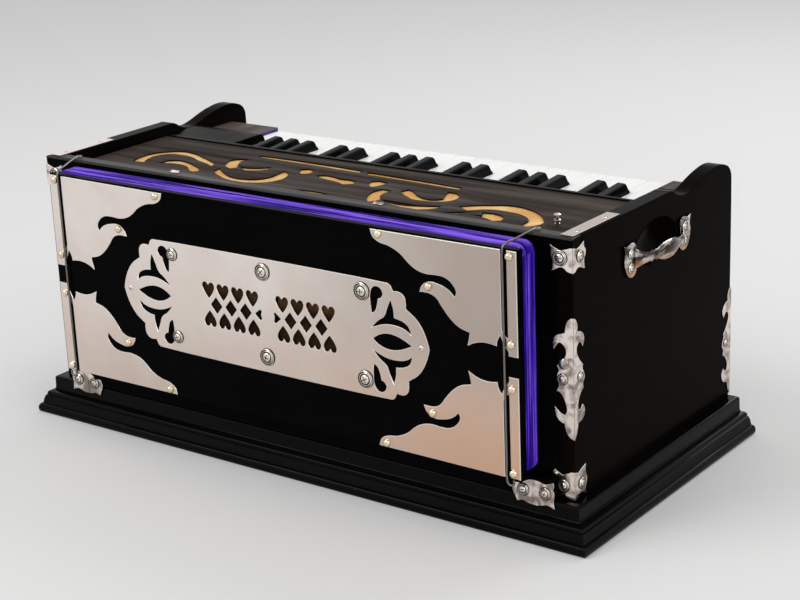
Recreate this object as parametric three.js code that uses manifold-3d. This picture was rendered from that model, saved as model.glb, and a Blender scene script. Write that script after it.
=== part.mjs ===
// Table harmonium: a black cabinet on a moulded plinth, with hand bellows on one long side
// and a keyboard of three octaves and a top C on the other. Millimetres, +Z up. The bellows face -Y,
// the player sits at +Y, the keyboard runs along X with its bass end at +X.
import * as THREE from "three";
import { mergeVertices } from "three/addons/utils/BufferGeometryUtils.js";
import Module from "manifold-3d";

const wasm = await Module();
wasm.setup();

// Clearances
const fit_gap = 0.3;
const overrun = 2;

// Cabinet
const cabinet_length = 572;
const cabinet_depth = 267;
const cabinet_top = 253.5;
const cheek_thickness = 15;
const base_thickness = 12;

// Plinth moulding round the base board
const plinth_height = 35.5;
const plinth_overhang = 22.6;
const plinth_rear_overhang = 10.6;
const moulding_profile_shares = [
  [0.93, 0], [0.985, 0.035], [1, 0.1], [0.965, 0.18], [0.86, 0.24], [0.82, 0.27],
  [0.77, 0.38], [0.71, 0.52], [0.67, 0.58], [0.6, 0.62], [0.44, 0.655], [0.4, 0.7],
  [0.39, 0.94], [0.355, 0.985], [0.3, 1],
];

// Cheeks: the dip and the horn at the keyboard end, and the finger recess
const horn_length = 110;
const dip_depth = 8.8;
const horn_profile_shares = [
  [0, 0], [0.03, -0.11], [0.1, -0.6], [0.165, -0.89], [0.245, -1], [0.33, -0.84], [0.49, -0.26],
  [0.63, 0.12], [0.78, 0.28], [0.885, 0.04], [0.955, -0.4], [0.99, -1], [1, -1.6],
];
const recess_length = 69;
const recess_height = 38;
const recess_depth = 6;
const recess_rise = 5;
const recess_steps = 24;

// Front board on the bellows side, its top rail and its foot ledge
const front_thickness = 12;
const rail_depth = 13;
const rail_height = 11;
const ledge_depth = 10;
const ledge_top = 54;
const port_radius = 22;
const port_spread = 130;
const port_steps = 20;

// Bellows board, its window behind the grille, and the pleated cloth
const board_length = 509;
const board_drop = 6.5;
const board_thickness = 7;
const board_lift = 2;
const cloth_depth = 20;
const cloth_margin = 2.5;
const cloth_wall = 1.6;
const cloth_corner = 9;
const cloth_top_margin = 1.5;
const pleats = 5;
const pleat_rise = 2.6;
const corner_steps = 5;
const window_length = 62;
const window_height = 44;
const window_spread = 42;

// Nickel plates on the bellows board
const plate_thickness = 0.8;
const plate_edge = 1;
const corner_plate_length = 140;
const corner_plate_gap = 3;
const corner_plate_shares = [
  [0.104, 0], [1, 0], [0.985, 0.07], [0.94, 0.115], [0.86, 0.135], [0.785, 0.185], [0.725, 0.26],
  [0.675, 0.305], [0.61, 0.33], [0.52, 0.33], [0.455, 0.345], [0.41, 0.395], [0.39, 0.46],
  [0.405, 0.495], [0.44, 0.445], [0.51, 0.405], [0.58, 0.4], [0.63, 0.44], [0.65, 0.505],
  [0.615, 0.5], [0.57, 0.505], [0.53, 0.54], [0.49, 0.61], [0.435, 0.695], [0.375, 0.76],
  [0.305, 0.785], [0.31, 0.83], [0.32, 0.905], [0.265, 0.865], [0.2, 0.85], [0.125, 0.86],
  [0.12, 0.82], [0.112, 0.765], [0.085, 0.84], [0.066, 0.88], [0.066, 0.915], [0, 0.915], [0, 0],
  [0.066, 0], [0.066, 0.77], [0.104, 0.71],
];
const centre_plate_length = 258;
const centre_plate_height = 101;
const lobe_length = 40;
const lobe_shares = [
  [0, 1], [0.08, 0.96], [0.13, 0.88], [0.2, 0.87], [0.32, 0.87], [0.41, 0.82], [0.45, 0.72],
  [0.46, 0.6], [0.62, 0.53], [0.79, 0.4], [0.92, 0.22], [1, 0],
];
const eye_shares = [[-0.42, 0], [-0.28, 0.07], [-0.04, 0.13], [0.2, 0.12], [0.42, 0.06], [0.56, 0],
  [0.42, -0.06], [0.2, -0.12], [-0.04, -0.13], [-0.28, -0.07]];
const leaf_shares = [[-0.42, 0.2], [-0.12, 0.29], [0.18, 0.3], [0.44, 0.25], [0.54, 0.2],
  [0.5, 0.31], [0.36, 0.39], [0.14, 0.42], [0.12, 0.56], [0.07, 0.7], [-0.02, 0.54], [-0.12, 0.42],
  [-0.28, 0.3]];
const comma_shares = [[-0.4, 0.44], [-0.43, 0.62], [-0.44, 0.8], [-0.38, 0.88], [-0.26, 0.91],
  [-0.15, 0.87], [-0.11, 0.8], [-0.16, 0.73], [-0.25, 0.71], [-0.28, 0.58], [-0.33, 0.48]];
const heart_width = 11;
const heart_height = 13;
const heart_pitch = 16.7;
const heart_start = 16.5;
const heart_row = 13;
const heart_columns = 4;
const heart_shares = [
  [0, -0.5], [0.3, -0.16], [0.48, 0.16], [0.47, 0.36], [0.34, 0.48], [0.16, 0.46], [0, 0.3],
  [-0.16, 0.46], [-0.34, 0.48], [-0.47, 0.36], [-0.48, 0.16], [-0.3, -0.16],
];
const diamond_width = 9.5;
const diamond_height = 11.5;

// Latch wires
const wire_radius = 1.1;
const wire_inset = 13;
const wire_reach_past_rail = 5;
const wire_toe = 6;
const wire_bend = 3;
const wire_lift = 1.4;
const wire_splay = 8;
const arm_turn_share = 0.85;
const wire_sides = 8;

// Fret lid
const lid_thickness = 6;
const lid_end_gap = 7;
const lid_drop = 8.5;
const lid_key_gap = 3.7;
const lid_scrolls_shares = [
  // outer crescent at the treble end
  [[-0.42, 0.27], [-0.432, 0.4], [-0.425, 0.5], [-0.41, 0.595], [-0.388, 0.645], [-0.365, 0.645],
    [-0.333, 0.6], [-0.3, 0.53], [-0.275, 0.47], [-0.268, 0.42], [-0.295, 0.455], [-0.32, 0.495],
    [-0.348, 0.545], [-0.372, 0.555], [-0.392, 0.545], [-0.408, 0.45], [-0.405, 0.36], [-0.395, 0.29]],
  // inner crescent at the treble end
  [[-0.365, 0.31], [-0.367, 0.4], [-0.35, 0.44], [-0.33, 0.43], [-0.302, 0.375], [-0.278, 0.32],
    [-0.266, 0.26], [-0.275, 0.235], [-0.288, 0.255], [-0.305, 0.31], [-0.325, 0.345], [-0.345, 0.335]],
  // small comma and its crescent
  [[-0.252, 0.51], [-0.266, 0.6], [-0.257, 0.655], [-0.236, 0.68], [-0.244, 0.615], [-0.238, 0.55],
    [-0.226, 0.475], [-0.234, 0.45]],
  [[-0.219, 0.49], [-0.196, 0.505], [-0.168, 0.575], [-0.163, 0.53], [-0.174, 0.47], [-0.195, 0.43]],
  // long smile under them
  [[-0.243, 0.39], [-0.213, 0.3], [-0.185, 0.255], [-0.158, 0.255], [-0.139, 0.29], [-0.127, 0.37],
    [-0.129, 0.49], [-0.128, 0.535], [-0.114, 0.51], [-0.102, 0.42], [-0.102, 0.33], [-0.112, 0.24],
    [-0.14, 0.175], [-0.183, 0.18], [-0.21, 0.23], [-0.24, 0.31]],
  // teardrop
  [[-0.104, 0.575], [-0.11, 0.635], [-0.101, 0.665], [-0.083, 0.63], [-0.082, 0.565], [-0.092, 0.54]],
  // slots at the keyboard edge
  [[-0.256, 0.87], [-0.248, 0.835], [-0.013, 0.8], [-0.016, 0.835]],
  [[0.002, 0.83], [0.008, 0.795], [0.208, 0.77], [0.204, 0.81]],
  // spear in the middle
  [[-0.061, 0.55], [-0.052, 0.58], [-0.033, 0.585], [-0.011, 0.56], [0.008, 0.565], [0.025, 0.54],
    [0.026, 0.495], [0.014, 0.46], [0.002, 0.48], [-0.027, 0.5], [-0.044, 0.515]],
  [[0.033, 0.185], [0.008, 0.215], [-0.016, 0.235], [-0.03, 0.225], [-0.006, 0.18], [0.012, 0.165]],
  // second teardrop and its comma
  [[0.053, 0.53], [0.046, 0.6], [0.055, 0.63], [0.075, 0.615], [0.074, 0.55], [0.067, 0.495]],
  [[0.106, 0.24], [0.092, 0.325], [0.088, 0.415], [0.093, 0.475], [0.111, 0.465], [0.11, 0.415],
    [0.113, 0.345], [0.125, 0.275], [0.123, 0.22], [0.116, 0.2]],
  // rising crescent
  [[0.13, 0.27], [0.15, 0.24], [0.174, 0.235], [0.2, 0.26], [0.237, 0.32], [0.236, 0.26],
    [0.219, 0.19], [0.2, 0.17], [0.174, 0.175], [0.146, 0.205]],
  // smile between two heads
  [[0.128, 0.5], [0.133, 0.545], [0.146, 0.52], [0.166, 0.455], [0.187, 0.415], [0.208, 0.42],
    [0.216, 0.46], [0.203, 0.56], [0.199, 0.61], [0.214, 0.615], [0.228, 0.565], [0.233, 0.495],
    [0.229, 0.43], [0.214, 0.385], [0.193, 0.37], [0.176, 0.37], [0.155, 0.405], [0.142, 0.44]],
  // large loop at the bass end
  [[0.263, 0.38], [0.3, 0.475], [0.337, 0.54], [0.366, 0.525], [0.396, 0.46], [0.425, 0.345],
    [0.43, 0.27], [0.424, 0.2], [0.413, 0.145], [0.396, 0.13], [0.404, 0.19], [0.404, 0.29],
    [0.381, 0.37], [0.345, 0.405], [0.314, 0.385], [0.282, 0.3]],
  [[0.288, 0.235], [0.314, 0.315], [0.339, 0.325], [0.362, 0.28], [0.366, 0.215], [0.356, 0.19],
    [0.337, 0.22], [0.309, 0.235]],
];

// Keyboard: places along Y are set back from the key fronts, heights down from the lid
const white_keys = 22;
const key_pitch = 20.2;
const key_gap = 0.8;
const bass_block_width = 32;
const key_show = 93;
const key_drop = 10;
const key_thickness = 12;
const pivot_setback = 37;
const tail_gap = 18;
const tail_thickness = 8;
const black_width = 11;
const black_top_width = 8;
const black_rise = 9.3;
const black_top_setback = 48.5;
const black_foot_setback = 43.5;
const pad_setback = 6;
const pad_length = 28;
const pad_side_inset = 0.4;
const slot_inset = 5;
const slot_width = 4.6;

// Reed board, key frame and end blocks
const reed_thickness = 12;
const key_clearance = 11;
const pivot_rail_width = 8;
const stop_rail_setback = 18;
const stop_rail_width = 10;
const stop_rail_height = 2.6;
const block_gap = 2.2;
const block_setback = 14;
const block_rear_height = 24;
const treble_brown_length = 44;
const treble_brown_rise = 4;
const bass_brown_length = 24;
const bass_brown_rise = 2.4;
const bass_block_rise = 1.6;

// Player-side panel
const panel_thickness = 14;
const panel_setback = 10;
const panel_drop = 9;
const panel_play = 3;

// Reservoir under the reed board
const reservoir_end_gap = 36;
const reservoir_front_gap = 33;
const reservoir_rear_gap = 8;
const reservoir_thickness = 8;
const reservoir_drop = 24;
const reservoir_cloth_wall = 2;

// Stop knobs
const stop_drop = 28;
const stop_spread = 110;
const stop_travel = 15;
const stop_shaft_radius = 4;
const stop_hole_play = 0.5;
const stop_collar_radius = 8;
const stop_collar_length = 4;
const stop_knob_radius = 11;
const stop_knob_length = 16;
const stop_steps = 18;
const stop_knob_shares = [[0.55, 0], [0.62, 0.12], [0.45, 0.28], [0.5, 0.4], [0.9, 0.55], [1, 0.72],
  [0.92, 0.88], [0.6, 1], [0, 1]];

// Side handles
const handle_span = 91;
const handle_setback = 135.5;
const handle_drop = 40.5;
const handle_plate_width = 16;
const handle_plate_height = 30;
const handle_plate_thickness = 2.2;
const handle_bow = 9.5;
const handle_grip_thickness = 5;
const handle_steps = 12;
const handle_width_shares = [0.56, 0.38, 0.27, 0.3, 0.42, 0.52, 0.56, 0.52, 0.42, 0.3, 0.27, 0.38, 0.56];
const handle_bow_shares = [0, 0.42, 0.68, 0.82, 0.92, 0.98, 1, 0.98, 0.92, 0.82, 0.68, 0.42, 0];

// Materials
function finish(color, roughness, metalness) {
  return new THREE.MeshStandardMaterial({ color, roughness, metalness });
}
const black_lacquer = finish(0x0b0b0c, 0.28, 0);
const grey_wood = finish(0x46423f, 0.5, 0);
const brown_wood = finish(0x463c39, 0.5, 0);
const pale_wood = finish(0xb08a5c, 0.6, 0);
const violet_cloth = finish(0x5a28dc, 0.8, 0);
const dark_cloth = finish(0x2a2430, 0.9, 0);
const nickel = finish(0xb9aba0, 0.18, 1);
const chrome = finish(0xd8d8da, 0.08, 1);
const ivory_white = finish(0xf4f4f2, 0.25, 0);
const key_black = finish(0x121214, 0.3, 0);

// Places that the sizes give
const half_length = cabinet_length / 2;
const inner_half = half_length - cheek_thickness;
const rear_outer = cabinet_depth + plinth_rear_overhang;
const board_bottom = ledge_top + board_lift;
const board_top = cabinet_top - board_drop;
const board_middle = (board_bottom + board_top) / 2;
const corner_plate_height = (board_top - board_bottom - corner_plate_gap) / 2;
const board_half = board_length / 2;
const board_back = -cloth_depth - fit_gap;
const board_face = board_back - board_thickness;
const plate_back = board_face - fit_gap;
const plate_face = plate_back - plate_thickness;
const wire_plane = plate_face - fit_gap - wire_radius;
const front_edge = Math.min(-plinth_overhang, wire_plane - wire_radius);
const depth_centre = (front_edge + rear_outer) / 2;
const rail_bottom = cabinet_top - rail_height;
const panel_outer = cabinet_depth - panel_setback;
const panel_inner = panel_outer - panel_thickness;
const key_front = panel_inner - panel_play;
const key_shoulder = key_front - key_show;
const key_pivot = key_shoulder - pivot_setback;
const key_tail = front_thickness + tail_gap;
const black_top_end = key_front - black_top_setback;
const black_foot = key_front - black_foot_setback;
const pad_rear = key_tail + pad_setback;
const pad_front = pad_rear + pad_length;
const lid_front = rail_depth + fit_gap;
const lid_rear = key_shoulder - lid_key_gap;
const lid_depth = lid_rear - lid_front;
const lid_half = inner_half - lid_end_gap;
const lid_top = cabinet_top - lid_drop;
const lid_bottom = lid_top - lid_thickness;
const key_top = lid_top - key_drop;
const key_bottom = key_top - key_thickness;
const tail_top = key_bottom + tail_thickness;
const reed_top = key_bottom - key_clearance;
const reed_bottom = reed_top - reed_thickness;
const panel_top = key_top - panel_drop;
const keyboard_bass_end = inner_half - bass_block_width;
const reservoir_half = inner_half - reservoir_end_gap;
const reservoir_front = front_thickness + reservoir_front_gap;
const reservoir_rear = panel_inner - reservoir_rear_gap;
const reservoir_top = reed_bottom - reservoir_drop;
const stop_height = reservoir_top - reservoir_thickness - stop_drop;
const handle_centre = cabinet_depth - handle_setback;
const handle_height = cabinet_top - handle_drop;

// Geometry helpers
function boxGeometry(x0, x1, y0, y1, z0, z1) {
  const g = new THREE.BoxGeometry(x1 - x0, y1 - y0, z1 - z0);
  return g.translate((x0 + x1) / 2, (y0 + y1) / 2, (z0 + z1) / 2);
}

function extrude(points, depth, axes, origin) {
  const shape = new THREE.Shape(points.map(([u, v]) => new THREE.Vector2(u, v)));
  const g = new THREE.ExtrudeGeometry(shape, { depth, bevelEnabled: false, curveSegments: 1 });
  const m = new THREE.Matrix4().makeBasis(...axes);
  m.setPosition(...origin);
  return g.applyMatrix4(m);
}

const unit_x = new THREE.Vector3(1, 0, 0);
const unit_y = new THREE.Vector3(0, 1, 0);
const unit_z = new THREE.Vector3(0, 0, 1);
const back_y = new THREE.Vector3(0, -1, 0);

// an outline in YZ, drawn out along X
function prismX(points, x0, x1) {
  return extrude(points, x1 - x0, [unit_y, unit_z, unit_x], [x0, 0, 0]);
}

// an outline in XZ, drawn out along Y
function prismY(points, y0, y1) {
  return extrude(points, y1 - y0, [unit_x, unit_z, back_y], [0, y1, 0]);
}

// an outline in XY, drawn out along Z
function prismZ(points, z0, z1) {
  return extrude(points, z1 - z0, [unit_x, unit_y, unit_z], [0, 0, z0]);
}

function rectangle(u0, u1, v0, v1) {
  return [[u0, v0], [u1, v0], [u1, v1], [u0, v1]];
}

function ellipse(u, v, radius_u, radius_v, steps) {
  const points = [];
  for (let i = 0; i < steps; i += 1) {
    const angle = (2 * Math.PI * i) / steps;
    points.push([u + radius_u * Math.cos(angle), v + radius_v * Math.sin(angle)]);
  }
  return points;
}

function roundedRectangle(half_u, v0, v1, corner, steps) {
  const points = [];
  const centres = [
    [half_u - corner, v1 - corner], [corner - half_u, v1 - corner],
    [corner - half_u, v0 + corner], [half_u - corner, v0 + corner],
  ];
  centres.forEach(([u, v], quarter) => {
    for (let i = 0; i <= steps; i += 1) {
      const angle = (Math.PI / 2) * (quarter + i / steps);
      points.push([u + corner * Math.cos(angle), v + corner * Math.sin(angle)]);
    }
  });
  return points;
}

// Closed solids
function solidOf(geometry) {
  const bare = geometry.index ? geometry.toNonIndexed() : geometry.clone();
  bare.deleteAttribute("normal");
  bare.deleteAttribute("uv");
  const merged = mergeVertices(bare, 1e-4);
  return new wasm.Manifold(new wasm.Mesh({
    numProp: 3,
    vertProperties: new Float32Array(merged.attributes.position.array),
    triVerts: new Uint32Array(merged.index.array),
  }));
}

function geometryOf(solid) {
  const mesh = solid.getMesh();
  const g = new THREE.BufferGeometry();
  g.setAttribute("position", new THREE.BufferAttribute(new Float32Array(mesh.vertProperties), 3));
  g.setIndex(new THREE.BufferAttribute(new Uint32Array(mesh.triVerts), 1));
  g.computeVertexNormals();
  return g;
}

function joined(...geometries) {
  return geometries.map(solidOf).reduce((a, b) => a.add(b));
}

function cut(body, ...geometries) {
  return geometries.map(solidOf).reduce((a, b) => a.subtract(b), body);
}

// a prism with holes right through it
function pierced(prism, outline, from, to, holes) {
  const through = holes.map((hole) => prism(hole, from - overrun, to + overrun));
  return cut(solidOf(prism(outline, from, to)), ...through);
}

// rings of equal count, stacked and closed at both ends, or joined end to end as a tube
function stacked(rings, closed_loop = false) {
  const count = rings[0].length;
  const position = rings.flat().flat();
  const index = [];
  const spans = closed_loop ? rings.length : rings.length - 1;
  for (let r = 0; r < spans; r += 1) {
    const low = r * count;
    const high = ((r + 1) % rings.length) * count;
    for (let i = 0; i < count; i += 1) {
      const j = (i + 1) % count;
      index.push(low + i, low + j, high + j, low + i, high + j, high + i);
    }
  }
  if (!closed_loop) {
    const last = (rings.length - 1) * count;
    for (let i = 1; i < count - 1; i += 1) {
      index.push(0, i + 1, i, last, last + i, last + i + 1);
    }
  }
  const g = new THREE.BufferGeometry();
  g.setAttribute("position", new THREE.Float32BufferAttribute(position, 3));
  g.setIndex(index);
  return g;
}

const harmonium = new THREE.Group();
const bodies = {
  cabinet: new THREE.Group(),
  bellows: new THREE.Group(),
  keys: new THREE.Group(),
};
Object.values(bodies).forEach((group) => harmonium.add(group));
harmonium.position.y = -depth_centre;

function place(group, name, shape, material) {
  const geometry = shape.isBufferGeometry ? shape : geometryOf(shape);
  const mesh = new THREE.Mesh(geometry, material);
  mesh.name = name;
  group.add(mesh);
  return mesh;
}

// Plinth: moulding and base board in one tray
function plinth() {
  const rings = moulding_profile_shares.map(([out_share, up_share]) => {
    const out = plinth_overhang * out_share;
    const rear = plinth_rear_overhang * out_share;
    const z = plinth_height * up_share;
    const x = half_length + out;
    return [[-x, -out, z], [x, -out, z], [x, cabinet_depth + rear, z], [-x, cabinet_depth + rear, z]];
  });
  const well = boxGeometry(
    -half_length - fit_gap, half_length + fit_gap,
    -fit_gap, cabinet_depth + fit_gap,
    base_thickness, plinth_height + overrun,
  );
  return cut(solidOf(stacked(rings)), well);
}

// Cheek: side board with the horn, notched for the top rail, with its finger recess
function cheek(side) {
  const foot = base_thickness + fit_gap;
  const start = cabinet_depth - horn_length;
  const profile = [
    [0, foot], [cabinet_depth, foot],
    ...horn_profile_shares.map(([along, up]) => [start + horn_length * along,
      cabinet_top + dip_depth * up]).reverse(),
    [rail_depth + fit_gap, cabinet_top],
    [rail_depth + fit_gap, rail_bottom - fit_gap],
    [0, rail_bottom - fit_gap],
  ];
  const inner = side * inner_half;
  const outer = side * half_length;
  const board = solidOf(prismX(profile, Math.min(inner, outer), Math.max(inner, outer)));
  const recess_floor = side * (half_length - recess_depth);
  const recess_mouth = side * (half_length + overrun);
  const oval = ellipse(handle_centre, handle_height + recess_rise, recess_length / 2,
    recess_height / 2, recess_steps);
  return cut(board, prismX(oval, Math.min(recess_floor, recess_mouth),
    Math.max(recess_floor, recess_mouth)));
}

// Front board with the top rail, the foot ledge and two air ports
function frontBoard() {
  const foot = base_thickness + fit_gap;
  const board_edge = inner_half - fit_gap;
  const board = prismX([
    [0, foot], [front_thickness, foot], [front_thickness, rail_bottom + fit_gap], [0, rail_bottom + fit_gap],
  ], -board_edge, board_edge);
  const rail = boxGeometry(-half_length, half_length, 0, rail_depth, rail_bottom, cabinet_top);
  const ledge = boxGeometry(-board_edge, board_edge, -ledge_depth, fit_gap,
    plinth_height + fit_gap, ledge_top);
  const ports = [-1, 1].map((side) => prismY(
    ellipse(side * port_spread, board_middle, port_radius, port_radius, port_steps),
    -overrun, front_thickness + overrun,
  ));
  return cut(joined(board, rail, ledge), ...ports);
}

function playerPanel() {
  const foot = base_thickness + fit_gap;
  const half = inner_half - fit_gap;
  const hole = stop_shaft_radius + stop_hole_play;
  const holes = [-1, 1].map((side) => ellipse(side * stop_spread, stop_height, hole, hole, stop_steps));
  return pierced(prismY, rectangle(-half, half, foot, panel_top), panel_inner, panel_outer, holes);
}

// Keyboard layout: white key i from the bass end, with a black key after C, D, F, G and A
const notes = ["c", "d", "e", "f", "g", "a", "b"];
const sharps = [true, true, false, true, true, true, false];
const first_octave = 3;
const half_black = black_width / 2;
const slot_side = half_black + key_gap;

function whiteSpan(i) {
  const high = keyboard_bass_end - i * key_pitch;
  return [high - key_pitch + key_gap / 2, high - key_gap / 2];
}

function hasSharpAfter(i) {
  return i >= 0 && i < white_keys - 1 && sharps[i % notes.length];
}

function octaveOf(i) {
  return first_octave + Math.floor(i / notes.length);
}

// span of a white key's tail along X, between its black neighbours
function tailSpan(i) {
  const [low, high] = whiteSpan(i);
  const bass_edge = keyboard_bass_end - i * key_pitch;
  const treble_edge = bass_edge - key_pitch;
  return [
    hasSharpAfter(i) ? treble_edge + slot_side : low,
    hasSharpAfter(i - 1) ? bass_edge - slot_side : high,
  ];
}

function withTail(head, low, high) {
  const tail = boxGeometry(low, high, key_tail, key_shoulder + fit_gap, key_bottom, tail_top);
  const pad = boxGeometry(low + pad_side_inset, high - pad_side_inset, pad_rear, pad_front,
    reed_top + fit_gap, key_bottom + fit_gap);
  return joined(head, tail, pad);
}

function whiteKey(i) {
  const [low, high] = whiteSpan(i);
  const [tail_low, tail_high] = tailSpan(i);
  const notch = black_foot + key_gap;
  const outline = [[low, key_front], [low, notch], [tail_low, notch], [tail_low, key_shoulder],
    [tail_high, key_shoulder], [tail_high, notch], [high, notch], [high, key_front]];
  const clean = outline.filter(([x, y], k) => {
    const [px, py] = outline[(k + outline.length - 1) % outline.length];
    return Math.hypot(x - px, y - py) > 0;
  });
  return withTail(prismZ(clean, key_bottom, key_top), tail_low, tail_high);
}

function blackKey(i) {
  const middle = keyboard_bass_end - (i + 1) * key_pitch;
  const low = middle - half_black;
  const high = middle + half_black;
  const half_top = black_top_width / 2;
  const top = key_top + black_rise;
  const taper = half_black - half_top;
  // rings at the bottom, at the white keys' level and at the top
  const head = stacked([
    [[low, key_shoulder, key_bottom], [high, key_shoulder, key_bottom],
      [high, black_foot, key_bottom], [low, black_foot, key_bottom]],
    [[low, key_shoulder, key_top], [high, key_shoulder, key_top],
      [high, black_foot, key_top], [low, black_foot, key_top]],
    [[middle - half_top, key_shoulder + taper, top], [middle + half_top, key_shoulder + taper, top],
      [middle + half_top, black_top_end, top], [middle - half_top, black_top_end, top]],
  ]);
  return withTail(head, low, high);
}

// Reed board with one air slot under each key's pad
function reedBoard(spans) {
  const half = inner_half - fit_gap;
  const outline = rectangle(-half, half, front_thickness + fit_gap, panel_inner - fit_gap);
  const slots = spans.map(([low, high]) => {
    const middle = (low + high) / 2;
    return rectangle(middle - slot_width / 2, middle + slot_width / 2,
      pad_rear + slot_inset, pad_front - slot_inset);
  });
  return pierced(prismZ, outline, reed_bottom, reed_top, slots);
}

// Key frame: end blocks joined by the pivot rail and the down-stop rail
function keyFrame() {
  const floor = reed_top + fit_gap;
  const half = inner_half - fit_gap;
  const block_end = panel_inner - fit_gap;
  const block_rear = key_pivot - block_setback;
  const profile = (brown_start, brown_top, cap_end, cap_top) => [
    [block_rear, floor], [block_end, floor], [block_end, brown_top],
    [brown_start, brown_top], [cap_end, cap_top], [key_shoulder, cap_top],
    [key_shoulder, floor + block_rear_height], [block_rear, floor + block_rear_height],
  ];
  const treble_end = keyboard_bass_end - white_keys * key_pitch;
  const treble_profile = profile(
    key_front - treble_brown_length, key_top + treble_brown_rise,
    black_top_end, key_top + black_rise,
  );
  const bass_brown = key_front - bass_brown_length;
  const bass_profile = profile(
    bass_brown, key_top + bass_brown_rise, bass_brown, key_top + bass_block_rise,
  );
  const treble_block = prismX(treble_profile, -half, treble_end - block_gap);
  const bass_block = prismX(bass_profile, keyboard_bass_end + block_gap, half);
  const pivot_rail = boxGeometry(-half + overrun, half - overrun,
    key_pivot - pivot_rail_width / 2, key_pivot + pivot_rail_width / 2, floor, key_bottom - fit_gap);
  const stop_rail_rear = key_front - stop_rail_setback;
  const stop_rail = boxGeometry(-half + overrun, half - overrun,
    stop_rail_rear, stop_rail_rear + stop_rail_width, floor, floor + stop_rail_height);
  return joined(treble_block, bass_block, pivot_rail, stop_rail);
}

// Fret lid with its scroll cut-outs
function fretLid() {
  const holes = lid_scrolls_shares.map((scroll) => scroll.map(([along, across]) => [
    along * 2 * lid_half, lid_front + lid_depth * across,
  ]));
  const outline = rectangle(-lid_half, lid_half, lid_front, lid_rear);
  return pierced(prismZ, outline, lid_bottom, lid_top, holes);
}

// Bellows board with a window behind each half of the grille
function bellowsBoard() {
  const windows = [-1, 1].map((side) => rectangle(
    side * window_spread - window_length / 2, side * window_spread + window_length / 2,
    board_middle - window_height / 2, board_middle + window_height / 2,
  ));
  const outline = rectangle(-board_half, board_half, board_bottom, board_top);
  return pierced(prismY, outline, board_face, board_back, windows);
}

// Bellows cloth: a band of pleats round an open middle
function bellowsCloth() {
  const y0 = board_back + fit_gap;
  const y1 = -fit_gap;
  const low = board_bottom;
  const high = board_top + cloth_top_margin;
  const ring = (outset, y) => roundedRectangle(
    board_half + cloth_margin + outset, low - outset / 2, high + outset, cloth_corner, corner_steps,
  ).map(([x, z]) => [x, y, z]);
  const stations = 2 * pleats;
  const outer = [];
  for (let i = 0; i <= stations; i += 1) {
    const y = y0 + ((y1 - y0) * i) / stations;
    outer.push([y, i % 2 ? 0 : -pleat_rise]);
  }
  const rings = outer.map(([y, outset]) => ring(outset, y));
  const inner = [...outer].reverse().map(([y, outset]) => ring(outset - cloth_wall, y));
  return stacked([...rings, ...inner].reverse(), true);
}

// Centre plate: lotus ends and the grille of hearts and diamonds
function centrePlate() {
  const half = centre_plate_length / 2;
  const half_height = centre_plate_height / 2;
  const right = lobe_shares.map(([out, up]) => [half + lobe_length * out, half_height * up]);
  const lower = right.slice(0, -1).map(([x, z]) => [x, -z]).reverse();
  const side = [...right, ...lower];
  const outline = [...side, ...side.map(([x, z]) => [-x, z]).reverse()];
  const holes = [];
  const mirror = (points, flip_x, flip_z) => points.map(([x, z]) => [flip_x * x, flip_z * z]);
  const cut_outs = [[eye_shares, false], [leaf_shares, true], [comma_shares, true]];
  for (const [shares, both] of cut_outs) {
    const points = shares.map(([out, up]) => [half + lobe_length * out, half_height * up]);
    for (const flip_x of [-1, 1]) {
      holes.push(mirror(points, flip_x, 1));
      if (both) holes.push(mirror(points, flip_x, -1));
    }
  }
  for (const flip_x of [-1, 1]) {
    for (let column = 0; column < heart_columns; column += 1) {
      const x = heart_start + column * heart_pitch;
      for (const flip_z of [-1, 1]) {
        const heart = heart_shares.map(([u, v]) => [
          x + heart_width * u, heart_row + heart_height * v,
        ]);
        holes.push(mirror(heart, flip_x, flip_z));
      }
      if (column < heart_columns - 1) {
        const dx = x + heart_pitch / 2;
        holes.push([
          [flip_x * dx, diamond_height / 2], [flip_x * (dx + diamond_width / 2), 0],
          [flip_x * dx, -diamond_height / 2], [flip_x * (dx - diamond_width / 2), 0],
        ]);
      }
    }
  }
  const lifted = (points) => points.map(([x, z]) => [x, board_middle + z]);
  return pierced(prismY, lifted(outline), plate_face, plate_back, holes.map(lifted));
}

// Corner plate: its scrolled edge faces the middle of the board
function cornerPlate(side, upper) {
  const corner_z = upper ? board_top - plate_edge : board_bottom + plate_edge;
  const down = upper ? -1 : 1;
  const outer = side * (board_half - plate_edge);
  const points = corner_plate_shares.map(([along, across]) => [
    outer - side * corner_plate_length * along, corner_z + down * corner_plate_height * across,
  ]);
  return prismY(points, plate_face, plate_back);
}

// Latch wire: a shaft down the board, an arm over the cloth to the rail, a toe at the foot
function latchWire(side) {
  const x = side * (board_half - wire_inset);
  const arm_low = board_top + cloth_top_margin + wire_radius + overrun;
  const arm_high = cabinet_top + wire_radius + wire_lift;
  const foot = board_bottom - wire_toe / 2;
  const points = [
    [x + side * wire_toe, wire_plane, foot],
    [x + side * wire_bend / 2, wire_plane, foot],
    [x, wire_plane, foot + wire_bend],
    [x, wire_plane, arm_low - wire_bend],
    [x + side * wire_bend / 4, wire_plane + wire_bend, arm_low],
    [x + side * wire_splay * arm_turn_share, -overrun, arm_high],
    [x + side * wire_splay, wire_reach_past_rail, arm_high],
  ].map((p) => new THREE.Vector3(...p));
  return wireSolid(points);
}

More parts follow.
